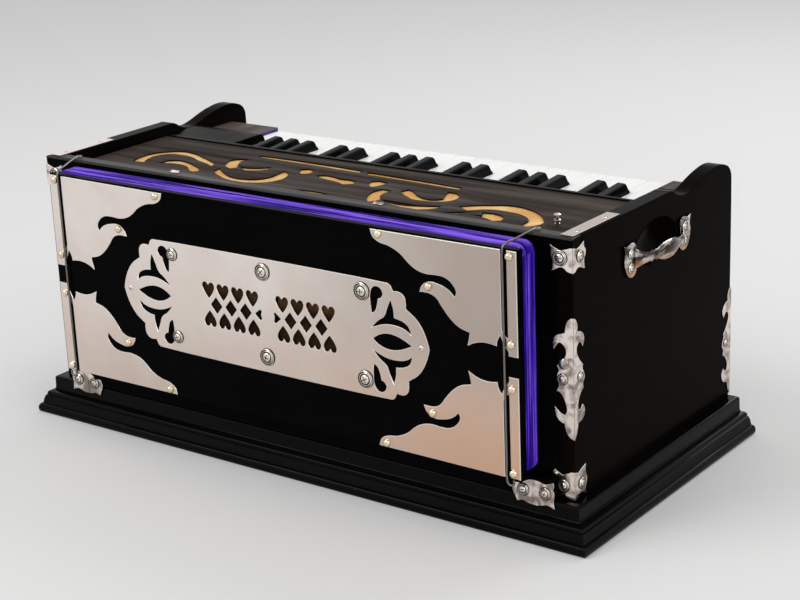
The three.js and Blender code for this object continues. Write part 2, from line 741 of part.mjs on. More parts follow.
// a round wire through straight runs, with one ring at each bend
function wireSolid(points) {
  const rings = points.map((p, i) => {
    const before = points[Math.max(i - 1, 0)];
    const after = points[Math.min(i + 1, points.length - 1)];
    const along_in = p.clone().sub(before).normalize();
    const along_out = after.clone().sub(p).normalize();
    const tangent = along_in.clone().add(along_out).normalize();
    return { p, tangent };
  });
  const solid_rings = [];
  let reference = unit_y.clone();
  rings.forEach(({ p, tangent }) => {
    const u = reference.clone().sub(tangent.clone().multiplyScalar(reference.dot(tangent))).normalize();
    const v = tangent.clone().cross(u);
    reference = u.clone();
    const ring = [];
    for (let k = 0; k < wire_sides; k += 1) {
      const angle = (2 * Math.PI * k) / wire_sides;
      const q = p.clone()
        .add(u.clone().multiplyScalar(wire_radius * Math.cos(angle)))
        .add(v.clone().multiplyScalar(wire_radius * Math.sin(angle)));
      ring.push([q.x, q.y, q.z]);
    }
    solid_rings.push(ring);
  });
  return stacked(solid_rings);
}

// Side handle: two end plates and a bowed grip that narrows to a neck at each end
function sideHandle(side) {
  const face = half_length + fit_gap;
  const half_span = handle_span / 2;
  const plates = [-1, 1].map((end) => {
    const y = handle_centre + end * half_span;
    const oval = ellipse(y, handle_height, handle_plate_width / 2, handle_plate_height / 2, recess_steps / 2);
    return prismX(oval, Math.min(side * face, side * (face + handle_plate_thickness)),
      Math.max(side * face, side * (face + handle_plate_thickness)));
  });
  const rings = handle_bow_shares.map((bow_share, i) => {
    const along = (i / handle_steps - 1 / 2) * handle_span;
    const y = handle_centre + along;
    const x0 = face + handle_bow * bow_share;
    const x1 = x0 + handle_grip_thickness;
    const half = (handle_plate_height * handle_width_shares[i]) / 2;
    const chamfer = handle_grip_thickness / 4;
    const section = [[x0, -half + chamfer], [x0 + chamfer, -half], [x1 - chamfer, -half],
      [x1, -half + chamfer], [x1, half - chamfer], [x1 - chamfer, half], [x0 + chamfer, half],
      [x0, half - chamfer]];
    return section.map(([x, z]) => [side * x, y, handle_height + z]);
  });
  const grip = stacked(side < 0 ? rings : rings.map((ring) => [...ring].reverse()));
  return joined(grip, ...plates);
}

// Reservoir cloth: an open band between the reed board and the reservoir board
function reservoirCloth() {
  const body = boxGeometry(-reservoir_half, reservoir_half, reservoir_front, reservoir_rear,
    reservoir_top + fit_gap, reed_bottom - fit_gap);
  const hollow = boxGeometry(
    -reservoir_half + reservoir_cloth_wall, reservoir_half - reservoir_cloth_wall,
    reservoir_front + reservoir_cloth_wall, reservoir_rear - reservoir_cloth_wall,
    reservoir_top - overrun, reed_bottom + overrun);
  return cut(solidOf(body), hollow);
}

// Stop knob: turned head outside, shaft through the panel, collar inside
function stopKnob(side) {
  const head_start = panel_outer + fit_gap;
  const collar_front = panel_inner - stop_travel - overrun;
  const profile = [
    [0, collar_front - stop_collar_length], [stop_collar_radius, collar_front - stop_collar_length],
    [stop_collar_radius, collar_front], [stop_shaft_radius, collar_front],
    [stop_shaft_radius, head_start],
    ...stop_knob_shares.map(([r, along]) => [stop_knob_radius * r, head_start + stop_knob_length * along]),
  ].map(([r, y]) => new THREE.Vector2(r, y));
  const g = new THREE.LatheGeometry(profile, stop_steps);
  return solidOf(g.translate(side * stop_spread, 0, stop_height));
}

place(bodies.cabinet, "plinth", plinth(), black_lacquer);
place(bodies.cabinet, "left_cheek", cheek(-1), black_lacquer);
place(bodies.cabinet, "right_cheek", cheek(1), black_lacquer);
place(bodies.cabinet, "front_board", frontBoard(), black_lacquer);
place(bodies.cabinet, "player_panel", playerPanel(), black_lacquer);
place(bodies.cabinet, "key_frame", keyFrame(), brown_wood);
place(bodies.cabinet, "left_handle", sideHandle(-1), chrome);
place(bodies.cabinet, "right_handle", sideHandle(1), chrome);
place(bodies.cabinet, "fret_lid", fretLid(), grey_wood);
place(bodies.cabinet, "reservoir_board", boxGeometry(
  -reservoir_half, reservoir_half, reservoir_front, reservoir_rear,
  reservoir_top - reservoir_thickness, reservoir_top,
), pale_wood);
place(bodies.cabinet, "reservoir_cloth", reservoirCloth(), dark_cloth);
place(bodies.cabinet, "treble_stop", stopKnob(-1), key_black);
place(bodies.cabinet, "bass_stop", stopKnob(1), key_black);

place(bodies.bellows, "bellows_board", bellowsBoard(), black_lacquer);
place(bodies.bellows, "bellows_cloth", bellowsCloth(), violet_cloth);
place(bodies.bellows, "centre_plate", centrePlate(), nickel);
place(bodies.bellows, "upper_left_plate", cornerPlate(-1, true), nickel);
place(bodies.bellows, "upper_right_plate", cornerPlate(1, true), nickel);
place(bodies.bellows, "lower_left_plate", cornerPlate(-1, false), nickel);
place(bodies.bellows, "lower_right_plate", cornerPlate(1, false), nickel);
place(bodies.bellows, "left_latch", latchWire(-1), chrome);
place(bodies.bellows, "right_latch", latchWire(1), chrome);

const tail_spans = [];
for (let i = 0; i < white_keys; i += 1) {
  const note = notes[i % notes.length];
  place(bodies.keys, `key_${note}${octaveOf(i)}`, whiteKey(i), ivory_white);
  tail_spans.push(tailSpan(i));
  if (hasSharpAfter(i)) {
    place(bodies.keys, `key_${note}_sharp${octaveOf(i)}`, blackKey(i), key_black);
    const middle = keyboard_bass_end - (i + 1) * key_pitch;
    tail_spans.push([middle - half_black, middle + half_black]);
  }
}
place(bodies.cabinet, "reed_board", reedBoard(tail_spans), pale_wood);

export default harmonium;
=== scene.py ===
"""Looks of the table harmonium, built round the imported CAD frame.

Sizes are in millimetres in the maker's own frame: x along the keyboard towards the bass end,
y from the bellows face of the cabinet towards the player, z up from the table. spot() and the
facings turn them into metres in the row frame.
"""

import logging
import math
from contextlib import contextmanager
from dataclasses import dataclass
from enum import Enum
from typing import Iterator, Optional, Sequence

import bpy
from mathutils import Matrix, Vector, noise


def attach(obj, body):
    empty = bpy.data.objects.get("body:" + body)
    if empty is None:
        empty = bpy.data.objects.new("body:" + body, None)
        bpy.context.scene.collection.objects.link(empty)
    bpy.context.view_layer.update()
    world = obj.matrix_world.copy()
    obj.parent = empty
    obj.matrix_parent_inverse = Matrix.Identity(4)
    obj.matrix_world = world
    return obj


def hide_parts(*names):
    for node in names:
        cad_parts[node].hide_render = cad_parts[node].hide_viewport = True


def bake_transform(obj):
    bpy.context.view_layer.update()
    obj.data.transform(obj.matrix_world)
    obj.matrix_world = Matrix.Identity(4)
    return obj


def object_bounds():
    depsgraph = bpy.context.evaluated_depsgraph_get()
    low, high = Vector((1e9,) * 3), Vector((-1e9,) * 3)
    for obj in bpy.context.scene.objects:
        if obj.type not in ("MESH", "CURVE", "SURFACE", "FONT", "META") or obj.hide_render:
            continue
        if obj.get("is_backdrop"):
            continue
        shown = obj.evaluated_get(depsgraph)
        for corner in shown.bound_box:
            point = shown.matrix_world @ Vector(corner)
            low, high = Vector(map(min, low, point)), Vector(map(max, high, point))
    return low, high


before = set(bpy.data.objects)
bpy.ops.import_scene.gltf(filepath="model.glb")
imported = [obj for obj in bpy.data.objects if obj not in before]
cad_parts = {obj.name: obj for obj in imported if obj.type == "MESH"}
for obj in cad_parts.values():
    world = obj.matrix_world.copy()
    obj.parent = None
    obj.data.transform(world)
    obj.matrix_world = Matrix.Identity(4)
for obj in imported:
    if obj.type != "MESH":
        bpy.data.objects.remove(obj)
CAD_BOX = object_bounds()
LOG = logging.getLogger("harmonium")
DEPTH_CENTRE = 123.35

Point = tuple[float, float]
Spot = tuple[float, float, float]
Sides = tuple[float, float, float, float]
Ring = Sequence[Point]
Colour = tuple[float, float, float]
Piece = bpy.types.Object
Socket = bpy.types.NodeSocket
Material = bpy.types.Material


class Facing(Enum):
    """Which way a flat or turned piece looks: its two drawing axes and its outward axis."""

    TOP = ((1, 0, 0), (0, 1, 0), (0, 0, 1))
    FRONT = ((1, 0, 0), (0, 0, 1), (0, -1, 0))
    RIGHT = ((0, 1, 0), (0, 0, 1), (1, 0, 0))
    BACK = ((-1, 0, 0), (0, 0, 1), (0, 1, 0))

    def place(self, at: Sequence[float] = (0, 0, 0)) -> Matrix:
        """Gives the matrix from drawing millimetres to row-frame metres.

        Args:
            at: The point of the maker's frame where the drawing's origin goes.

        Returns:
            The placing matrix.
        """
        turn = Matrix(self.value).transposed().to_4x4()
        shift = Matrix.Translation(Vector((at[0], at[1] - DEPTH_CENTRE, at[2])))
        return Matrix.Scale(0.001, 4) @ shift @ turn


def spot(x: float, y: float, z: float) -> Vector:
    """Turns a point in millimetres of the maker's frame into row-frame metres."""
    return Vector((x, y - DEPTH_CENTRE, z)) / 1000


def clear() -> None:
    """Leaves edit mode and deselects everything."""
    if bpy.context.mode != "OBJECT":
        bpy.ops.object.mode_set(mode="OBJECT")
    bpy.ops.object.select_all(action="DESELECT")


def take(piece: Piece) -> None:
    """Selects one piece alone and makes it active."""
    clear()
    piece.select_set(True)
    bpy.context.view_layer.objects.active = piece


def settle(piece: Piece, name: str) -> Piece:
    """Names a piece and puts its place, turn and scale into its mesh.

    Args:
        piece: The piece.
        name: Its new name.

    Returns:
        The same piece.
    """
    take(piece)
    bpy.ops.object.transform_apply(location=True, rotation=True, scale=True)
    piece.name = name
    piece.data.name = name
    return piece


@contextmanager
def editing(piece: Piece) -> Iterator[None]:
    """Opens a piece in edit mode with all of it selected, and closes it again."""
    take(piece)
    bpy.ops.object.mode_set(mode="EDIT")
    bpy.ops.mesh.select_all(action="SELECT")
    yield
    bpy.ops.object.mode_set(mode="OBJECT")


def mend(piece: Piece, merge: float = 1e-6) -> None:
    """Merges doubles and turns every face outwards."""
    with editing(piece):
        bpy.ops.mesh.remove_doubles(threshold=merge)
        bpy.ops.mesh.normals_make_consistent(inside=False)


def draw_on(step: Sequence[float], end: Sequence[float], ratio: Sequence[float]) -> None:
    """Draws the selected face out by a step, and widens or narrows it about its new middle."""
    bpy.ops.mesh.extrude_region_move(TRANSFORM_OT_translate={"value": step})
    bpy.ops.transform.resize(value=ratio, center_override=end)


def finish_with(piece: Piece, kind: str, **settings: object) -> None:
    """Adds a modifier with its settings and applies it."""
    take(piece)
    modifier = piece.modifiers.new(kind.lower(), kind)
    for key, value in settings.items():
        setattr(modifier, key, value)
    bpy.ops.object.modifier_apply(modifier=modifier.name)


def soften(piece: Piece, width: float, segments: int = 2, angle: float = 35) -> None:
    """Rounds the edges that are sharper than an angle, width in millimetres."""
    finish_with(piece, "BEVEL", width=width / 1000, segments=segments, limit_method="ANGLE",
                angle_limit=math.radians(angle), harden_normals=False)


def smooth(piece: Piece, angle: float = 35, weighted: bool = True) -> None:
    """Shades smooth below an angle, and keeps the broad faces flat."""
    take(piece)
    bpy.ops.object.shade_smooth_by_angle(angle=math.radians(angle))
    if weighted:
        finish_with(piece, "WEIGHTED_NORMAL", keep_sharp=True)


def join(name: str, pieces: Sequence[Piece]) -> Piece:
    """Joins pieces into one mesh.

    Args:
        name: The joined piece's name.
        pieces: What is joined. The first one leads.

    Returns:
        The joined piece.
    """
    take(pieces[0])
    for piece in pieces:
        piece.select_set(True)
    bpy.context.view_layer.objects.active = pieces[0]
    if len(pieces) > 1:
        bpy.ops.object.join()
    return settle(pieces[0], name)


def twin(piece: Piece, name: str, place: Optional[Matrix] = None) -> Piece:
    """Copies a piece with its own mesh.

    Args:
        piece: What is copied.
        name: The copy's name.
        place: What moves the copy's mesh, if it moves.

    Returns:
        The copy.
    """
    copy = bpy.data.objects.new(name, piece.data.copy())
    copy.data.name = name
    bpy.context.scene.collection.objects.link(copy)
    if place is not None:
        copy.data.transform(place)
        if place.determinant() < 0:
            copy.data.flip_normals()
    return copy


def shift(x: float = 0, y: float = 0, z: float = 0) -> Matrix:
    """Gives the matrix that moves a piece by millimetres."""
    return Matrix.Translation(Vector((x, y, z)) / 1000)


def across(axis: int, middle: float = 0.0) -> Matrix:
    """Gives the mirror about a plane across x, y or z (0, 1, 2), at a place in millimetres."""
    normal = Vector([float(k == axis) for k in range(3)])
    about = Matrix.Translation(normal * spot(middle, middle, middle)[axis])
    return about @ Matrix.Scale(-1, 4, normal) @ about.inverted()


def block(name: str, low: Sequence[float], high: Sequence[float], edge: float = 0.5,
          segments: int = 2) -> Piece:
    """Makes a board or strip with softened edges.

    Args:
        name: The piece's name.
        low: Its lowest corner, in millimetres.
        high: Its highest corner.
        edge: How far its edges are rounded.
        segments: Faces across each rounding.

    Returns:
        The piece.
    """
    clear()
    middle = [(a + b) / 2 for a, b in zip(low, high)]
    size = [(b - a) / 1000 for a, b in zip(low, high)]
    bpy.ops.mesh.primitive_cube_add(size=1, location=spot(*middle))
    bpy.context.object.scale = size
    piece = settle(bpy.context.object, name)
    soften(piece, edge, segments)
    return piece


def drawn_up(name: str, rings: Sequence[Sequence[float]]) -> Piece:
    """Draws a rectangle up through a stack of rectangles.

    Args:
        name: The piece's name.
        rings: One (x0, x1, y0, y1, z) in millimetres for each level.

    Returns:
        The closed piece.
    """
    clear()
    x0, x1, y0, y1, z = rings[0]
    bpy.ops.mesh.primitive_plane_add(size=1, location=spot((x0 + x1) / 2, (y0 + y1) / 2, z))
    bpy.context.object.scale = ((x1 - x0) / 1000, (y1 - y0) / 1000, 1)
    piece = settle(bpy.context.object, name)
    with editing(piece):
        for before, after in zip(rings, rings[1:]):
            start = spot((before[0] + before[1]) / 2, (before[2] + before[3]) / 2, before[4])
            end = spot((after[0] + after[1]) / 2, (after[2] + after[3]) / 2, after[4])
            ratio = ((after[1] - after[0]) / (before[1] - before[0]),
                     (after[3] - after[2]) / (before[3] - before[2]), 1)
            draw_on(end - start, end, ratio)
    mend(piece)
    return piece


def turned(name: str, profile: Ring, place: Matrix, sides: int = 24) -> Piece:
    """Turns a round piece: a disc drawn out and narrowed or widened at each step.

    Args:
        name: The piece's name.
        profile: (radius, height) pairs in millimetres, from the back to the face.
        place: From drawing millimetres to metres.
        sides: Faces round the piece.

    Returns:
        The closed piece.
    """
    clear()
    radius, height = profile[0]
    bpy.ops.mesh.primitive_circle_add(vertices=sides, radius=radius, fill_type="NGON",
                                      location=(0, 0, height))
    piece = settle(bpy.context.object, name)
    with editing(piece):
        for (r0, h0), (r1, h1) in zip(profile, profile[1:]):
            draw_on((0, 0, h1 - h0), (0, 0, h1), (r1 / r0, r1 / r0, 1))
    mend(piece, 1e-4)
    piece.data.transform(place)
    return piece


def as_mesh(drawing: bpy.types.Curve) -> Piece:
    """Turns a drawn curve into a mesh of the same name.

    Args:
        drawing: The curve.

    Returns:
        The piece, not yet merged.
    """
    piece = bpy.data.objects.new(drawing.name, drawing)
    bpy.context.scene.collection.objects.link(piece)
    take(piece)
    bpy.ops.object.convert(target="MESH")
    return bpy.context.object


def bend_at(ring: Ring, index: int) -> float:
    """Gives the change of direction at one point of an outline, in degrees."""
    before, here, after = (Vector(ring[(index + k) % len(ring)]) for k in (-1, 0, 1))
    into, out = here - before, after - here
    return math.degrees(into.angle(out, 0)) if into.length and out.length else 180.0


def flat_piece(name: str, outline: Ring, facing: Facing, low: float, high: float,
               holes: Sequence[Ring] = (), edge: float = 0.2, corner: float = 48,
               steps: int = 5, rounds: int = 1) -> Piece:
    """Cuts a sheet or board to a drawn outline, smooth between its corners.

    Args:
        name: The piece's name.
        outline: The outline's points in millimetres on the facing's two drawing axes.
        facing: Which way it looks.
        low: Where its back is along the facing's outward axis.
        high: Where its face is.
        holes: Outlines that are cut out.
        edge: How far its edges are rounded.
        corner: The bend in degrees above which a point stays a sharp corner.
        steps: How many short edges make each run between two points.
        rounds: How finely the edge is rounded.

    Returns:
        The closed piece.
    """
    clear()
    drawing = bpy.data.curves.new(name, "CURVE")
    drawing.dimensions = "2D"
    drawing.fill_mode = "BOTH"
    drawing.resolution_u = steps
    drawing.extrude = (high - low) / 2 - edge
    drawing.bevel_depth = edge
    drawing.bevel_resolution = rounds
    drawing.offset = -edge
    for ring in (outline, *holes):
        spline = drawing.splines.new("BEZIER")
        spline.bezier_points.add(len(ring) - 1)
        spline.use_cyclic_u = True
        for index, (knot, point) in enumerate(zip(spline.bezier_points, ring)):
            knot.co = (*point, 0)
            kind = "VECTOR" if bend_at(ring, index) > corner else "AUTO"
            knot.handle_left_type = knot.handle_right_type = kind
    piece = as_mesh(drawing)
    out = Vector(facing.value[2]) * (low + high) / 2
    piece.data.transform(facing.place(out))
    mend(piece, 2e-6)
    piece.data.name = name
    return piece


def tube(name: str, route: Sequence[Sequence[float]], radius: float, closed: bool = False,
         steps: int = 6) -> Piece:
    """Bends a round wire along a route in millimetres of the maker's frame.

    Args:
        name: The piece's name.
        route: The points that it passes.
        radius: The wire's radius.
        closed: Whether its ends meet.
        steps: Short lengths between two points.

    Returns:
        The closed piece.
    """
    clear()
    line = bpy.data.curves.new(name, "CURVE")
    line.dimensions = "3D"
    line.resolution_u = steps
    line.bevel_depth = radius / 1000
    line.bevel_resolution = 3
    line.use_fill_caps = not closed
    spline = line.splines.new("BEZIER")
    spline.bezier_points.add(len(route) - 1)
    spline.use_cyclic_u = closed
    for knot, point in zip(spline.bezier_points, route):
        knot.co = spot(*point)
        knot.handle_left_type = knot.handle_right_type = "AUTO"
    piece = as_mesh(line)
    mend(piece)
    return piece


def hollow(piece: Piece, cutter: Piece) -> None:
    """Cuts one piece out of another and throws the cutter away."""
    finish_with(piece, "BOOLEAN", operation="DIFFERENCE", object=cutter, solver="EXACT")
    bpy.data.objects.remove(cutter)


def circle(u: float, v: float, radius: float, count: int = 12) -> list[Point]:
    """Gives the points of a round outline."""
    turn = 2 * math.pi / count
    return [(u + radius * math.cos(k * turn), v + radius * math.sin(k * turn))
            for k in range(count)]


def set_out(ring: Ring, u: float, v: float, width: float = 1, height: float = 1) -> list[Point]:
    """Sets an outline out at a place, stretched by a width and a height."""
    return [(u + width * x, v + height * y) for x, y in ring]


def rectangle(u0: float, u1: float, v0: float, v1: float) -> list[Point]:
    """Gives the four corners of an outline."""
    return [(u0, v0), (u1, v0), (u1, v1), (u0, v1)]


def rounded_loop(half: float, v0: float, v1: float, radius: float,
                 spacing: float) -> list[tuple[Point, Point]]:
    """Walks round a rectangle with round corners.

    Args:
        half: Half its width.
        v0: Its lower side.
        v1: Its upper side.
        radius: Its corner radius.
        spacing: About how far apart the points are.

    Returns:
        Pairs of a point and the outward direction there.
    """
    corners = [((half - radius, v1 - radius), 0), ((radius - half, v1 - radius), 90),
               ((radius - half, v0 + radius), 180), ((half - radius, v0 + radius), 270)]
    walk: list[tuple[Point, Point]] = []
    for index, ((u, v), start) in enumerate(corners):
        for k in range(9):
            angle = math.radians(start + 90 * k / 8)
            out = (math.cos(angle), math.sin(angle))
            walk.append(((u + radius * out[0], v + radius * out[1]), out))
        (nu, nv), _ = corners[(index + 1) % 4]
        last, out = walk[-1]
        run = math.hypot(nu - u, nv - v)
        count = max(2, round(run / spacing))
        for k in range(1, count):
            share = k / count
            walk.append(((last[0] + (nu - u) * share, last[1] + (nv - v) * share), out))
    return walk


def as_cloth(mesh: bpy.types.Mesh, wall: float, loop: bool = False) -> Piece:
    """Gives a sheet of faces a cloth's thickness.

    Args:
        mesh: The faces.
        wall: The thickness in millimetres.
        loop: Whether it is a closed band, whose faces are turned outwards first.

    Returns:
        The piece.
    """
    piece = bpy.data.objects.new(mesh.name, mesh)
    bpy.context.scene.collection.objects.link(piece)
    if loop:
        with editing(piece):
            bpy.ops.mesh.normals_make_consistent(inside=False)
    finish_with(piece, "SOLIDIFY", thickness=wall / 1000, offset=-1.0)
    smooth(piece, 50, weighted=False)
    return piece


def pleats(count: int, steps: int, rise: float, low: float, high: float) -> list[Point]:
    """Gives the (outset, height) rows of rounded folds, each of which goes in by its rise."""
    lifts = [math.sqrt(abs(math.sin(math.pi * k / steps))) for k in range(count * steps + 1)]
    return [(-rise * (1 - lift), low + (high - low) * k / (count * steps))
            for k, lift in enumerate(lifts)]


def pleated_band(name: str, walk: Sequence[tuple[Point, Point]], rows: Sequence[Point],
                 facing: Facing, wobble: float, wall: float) -> tuple[Piece, float, float]:
    """Folds a band of cloth round a loop.

    Args:
        name: The piece's name.
        walk: The loop's points and outward directions, on the facing's drawing axes.
        rows: (outset, height) of each row of the folds, height along the outward axis.
        facing: Which way the loop looks.
        wobble: How unevenly the folds lie, in millimetres.
        wall: The cloth's thickness.

    Returns:
        The piece, the cloth's unfolded width and the loop's length, in metres.
    """
    count = len(walk)
    place = facing.place()
    points: list[Vector] = []
    for row, (outset, height) in enumerate(rows):
        for (u, v), (du, dv) in walk:
            rough = noise.noise(Vector((u * 0.035, v * 0.035, row * 0.37)))
            fine = noise.noise(Vector((u * 0.3, v * 0.3, row * 1.7)))
            out = outset - abs(rough + 0.4 * fine) * wobble
            points.append(place @ Vector((u + du * out, v + dv * out, height)))
    faces = []
    for row in range(len(rows) - 1):
        for k in range(count):
            after = (k + 1) % count
            faces.append((row * count + k, row * count + after,
                          (row + 1) * count + after, (row + 1) * count + k))
    mesh = bpy.data.meshes.new(name)
    mesh.from_pydata(points, [], faces)
    along = [0.0]
    for (a, _), (b, _) in zip(walk, [*walk[1:], walk[0]]):
        along.append(along[-1] + math.dist(a, b) / 1000)
    over = [0.0]
    for a, b in zip(rows, rows[1:]):
        over.append(over[-1] + math.dist(a, b) / 1000)
    layer = mesh.uv_layers.new(name="cloth")
    for face in mesh.polygons:
        row, k = divmod(face.index, count)
        spots = ((k, row), (k + 1, row), (k + 1, row + 1), (k, row + 1))
        for loop, (a, b) in zip(face.loop_indices, spots):
            layer.data[loop].uv = (along[a], over[b])
    return as_cloth(mesh, wall, loop=True), over[-1], along[-1]


def flat_cloth(name: str, low: Point, high: Point, facing: Facing, height: float,
               wall: float = 0.3) -> tuple[Piece, float, float]:
    """Lays a cut of cloth flat.

    Args:
        name: The piece's name.
        low: Its lowest corner on the facing's drawing axes, in millimetres.
        high: Its highest corner.
        facing: Which way it looks.
        height: Where its face is along the outward axis.
        wall: Its thickness.

    Returns:
        The piece, its width and its length in metres.
    """
    columns, rows, slack = 24, 12, 0.12
    place = facing.place()
    points = []
    for j in range(rows + 1):
        for i in range(columns + 1):
            u = low[0] + (high[0] - low[0]) * i / columns
            v = low[1] + (high[1] - low[1]) * j / rows
            sag = slack * noise.noise(Vector((u * 0.05, v * 0.05, 3.0)))
            points.append(place @ Vector((u, v, height + sag - slack)))
    starts = [j * (columns + 1) + i for j in range(rows) for i in range(columns)]
    faces = [(k, k + 1, k + columns + 2, k + columns + 1) for k in starts]
    mesh = bpy.data.meshes.new(name)
    mesh.from_pydata(points, [], faces)
    return as_cloth(mesh, wall), (high[0] - low[0]) / 1000, (high[1] - low[1]) / 1000


# Finishes


class Recipe:
    """One material's node tree while it is put together."""

    def __init__(self, name: str, uv: bool = False) -> None:
        """Starts a tree.

        Args:
            name: The material's name.
            uv: Whether patterns follow the piece's own map instead of its place.
        """
        self.material = bpy.data.materials.new(name)
        self.material.use_nodes = True
        self.tree = self.material.node_tree
        self.shader = self.tree.nodes["Principled BSDF"]
        coordinates = self.tree.nodes.new("ShaderNodeTexCoord")
        self.place = coordinates.outputs["UV" if uv else "Object"]

    def add(self, kind: str, inputs: Optional[dict[str, object]] = None,
            **settings: object) -> bpy.types.Node:
        """Adds a node.

        Args:
            kind: The node's type.
            inputs: Its input values, or outputs to link to them.
            settings: Its other properties.

        Returns:
            The node.
        """
        node = self.tree.nodes.new(kind)
        for key, value in settings.items():
            setattr(node, key, value)
        for key, value in (inputs or {}).items():
            socket = node.inputs[int(key)] if key.isdigit() else node.inputs[key]
            if isinstance(value, Socket):
                self.tree.links.new(value, socket)
            else:
                socket.default_value = value
        return node

    def stretched(self, scale: Sequence[float]) -> Socket:
        """Gives coordinates that are scaled by axis."""
        return self.add("ShaderNodeMapping", {"Vector": self.place, "Scale": scale}).outputs[0]

    def grain(self, scale: Sequence[float], detail: float = 4, twist: float = 0.0) -> Socket:
        """Gives a noise pattern, from 0 to 1.

        Args:
            scale: Cycles a metre along each axis.
            detail: How many finer layers it has.
            twist: How far it is distorted.

        Returns:
            The pattern's value.
        """
        return self.add("ShaderNodeTexNoise", {
            "Vector": self.stretched(scale), "Scale": 1.0, "Detail": detail,
            "Distortion": twist}).outputs[0]

    def threads(self, pitch: float, axis: str) -> Socket:
        """Gives bands across one axis, with a pitch in metres."""
        return self.add("ShaderNodeTexWave", {
            "Vector": self.place, "Scale": math.pi / (10 * pitch), "Distortion": 0.6,
            "Detail": 1.0}, wave_type="BANDS", bands_direction=axis).outputs[1]

    def axis(self, name: str) -> Socket:
        """Gives the place along one axis, in metres."""
        return self.add("ShaderNodeSeparateXYZ", {"Vector": self.place}).outputs[name]

    def ramp(self, value: Socket, stops: Sequence[tuple[float, Colour]]) -> Socket:
        """Turns a value into a colour through stops."""
        node = self.add("ShaderNodeValToRGB", {"0": value})
        elements = node.color_ramp.elements
        while len(elements) < len(stops):
            elements.new(0.5)
        for element, (where, colour) in zip(elements, stops):
            element.position = where
            element.color = (*colour, 1)
        return node.outputs[0]

    def span(self, value: Socket, low: float, high: float,
             start: float = 0.3, end: float = 0.7) -> Socket:
        """Maps a pattern from start..end to low..high."""
        return self.add("ShaderNodeMapRange", {
            "Value": value, "From Min": start, "From Max": end, "To Min": low,
            "To Max": high}).outputs[0]

    def sum(self, *values: Socket) -> Socket:
        """Adds patterns up."""
        total = values[0]
        for value in values[1:]:
            total = self.add("ShaderNodeMath", {"0": total, "1": value}).outputs[0]
        return total

    def times(self, first: Socket, second: Socket) -> Socket:
        """Multiplies two patterns."""
        return self.add("ShaderNodeMath", {"0": first, "1": second},
                        operation="MULTIPLY").outputs[0]

    def blend(self, share: Socket, first: Socket | Colour, second: Socket | Colour) -> Socket:
        """Mixes two colours, or outputs that give them, by a share."""
        ends = [end if isinstance(end, Socket) else (*end, 1) for end in (first, second)]
        return self.add("ShaderNodeMix", {"0": share, "6": ends[0], "7": ends[1]},
                        data_type="RGBA").outputs[2]

    def relief(self, height: Socket, depth: float, strength: float = 1.0) -> None:
        """Gives the surface a relief of a depth in millimetres."""
        bump = self.add("ShaderNodeBump", {
            "Height": height, "Strength": strength, "Distance": depth / 1000})
        self.tree.links.new(bump.outputs[0], self.shader.inputs["Normal"])

    def wear(self, colour: Socket, roughness: Optional[Socket] = None,
             **constants: float) -> Material:
        """Puts the patterns and the plain numbers on the shader.

        Args:
            colour: The base colour's pattern.
            roughness: The roughness pattern.
            constants: Socket names, with underscores for spaces, and their values.

        Returns:
            The material.
        """
        self.tree.links.new(colour, self.shader.inputs["Base Color"])
        if roughness is not None:
            self.tree.links.new(roughness, self.shader.inputs["Roughness"])
        for key, value in constants.items():
            self.shader.inputs[key.replace("_", " ")].default_value = value
        return self.material


@dataclass(frozen=True)
class Lacquer:
    """Polished dark lacquer over wood or on moulded parts."""

    name: str = "black_lacquer"
    deep: Colour = (0.0009, 0.0009, 0.0010)
    pale: Colour = (0.0024, 0.0022, 0.0022)
    gloss: float = 0.2
    gleam: float = 0.012
    grain: Colour = (4.0, 260.0, 260.0)
    relief: float = 0.035

    def make(self) -> Material:
        """Makes the material: clouded polish, faint grain and dust."""
        recipe = Recipe(self.name)
        cloud = recipe.grain((5, 5, 5), 5, 0.4)
        lines = recipe.grain(self.grain, 3)
        dust = recipe.grain((2600, 2600, 2600), 1)
        colour = recipe.ramp(recipe.sum(recipe.span(cloud, 0, 0.6), recipe.span(lines, 0, 0.4)),
                             ((0.1, self.deep), (0.9, self.pale)))
        rough = recipe.sum(recipe.span(cloud, self.gloss - 0.05, self.gloss + 0.05),
                           recipe.span(dust, 0, 0.16, 0.62, 0.8))
        recipe.relief(recipe.sum(lines, recipe.span(dust, 0, 0.25, 0.6, 0.8)), self.relief)
        return recipe.wear(colour, rough, Specular_IOR_Level=self.gleam)


@dataclass(frozen=True)
class StainedWood:
    """Stained or bare wood with open grain along one axis."""

    name: str
    deep: Colour
    middle: Colour
    pale: Colour
    along: Colour = (3.0, 70.0, 70.0)
    pores: Colour = (24.0, 900.0, 900.0)
    roughness: float = 0.5
    gleam: float = 0.35
    relief: float = 0.12

    def make(self) -> Material:
        """Makes the material: broad streaks, fine pores and a worn polish."""
        recipe = Recipe(self.name)
        streaks = recipe.grain(self.along, 6, 0.5)
        pores = recipe.grain(self.pores, 2)
        mixed = recipe.sum(recipe.span(streaks, 0, 0.72, 0.32, 0.68),
                           recipe.span(pores, 0, 0.28, 0.35, 0.65))
        colour = recipe.ramp(mixed, ((0.08, self.deep), (0.5, self.middle), (0.92, self.pale)))
        rough = recipe.span(mixed, self.roughness + 0.1, self.roughness - 0.08, 0.1, 0.9)
        recipe.relief(mixed, self.relief, 0.6)
        return recipe.wear(colour, rough, Specular_IOR_Level=self.gleam)


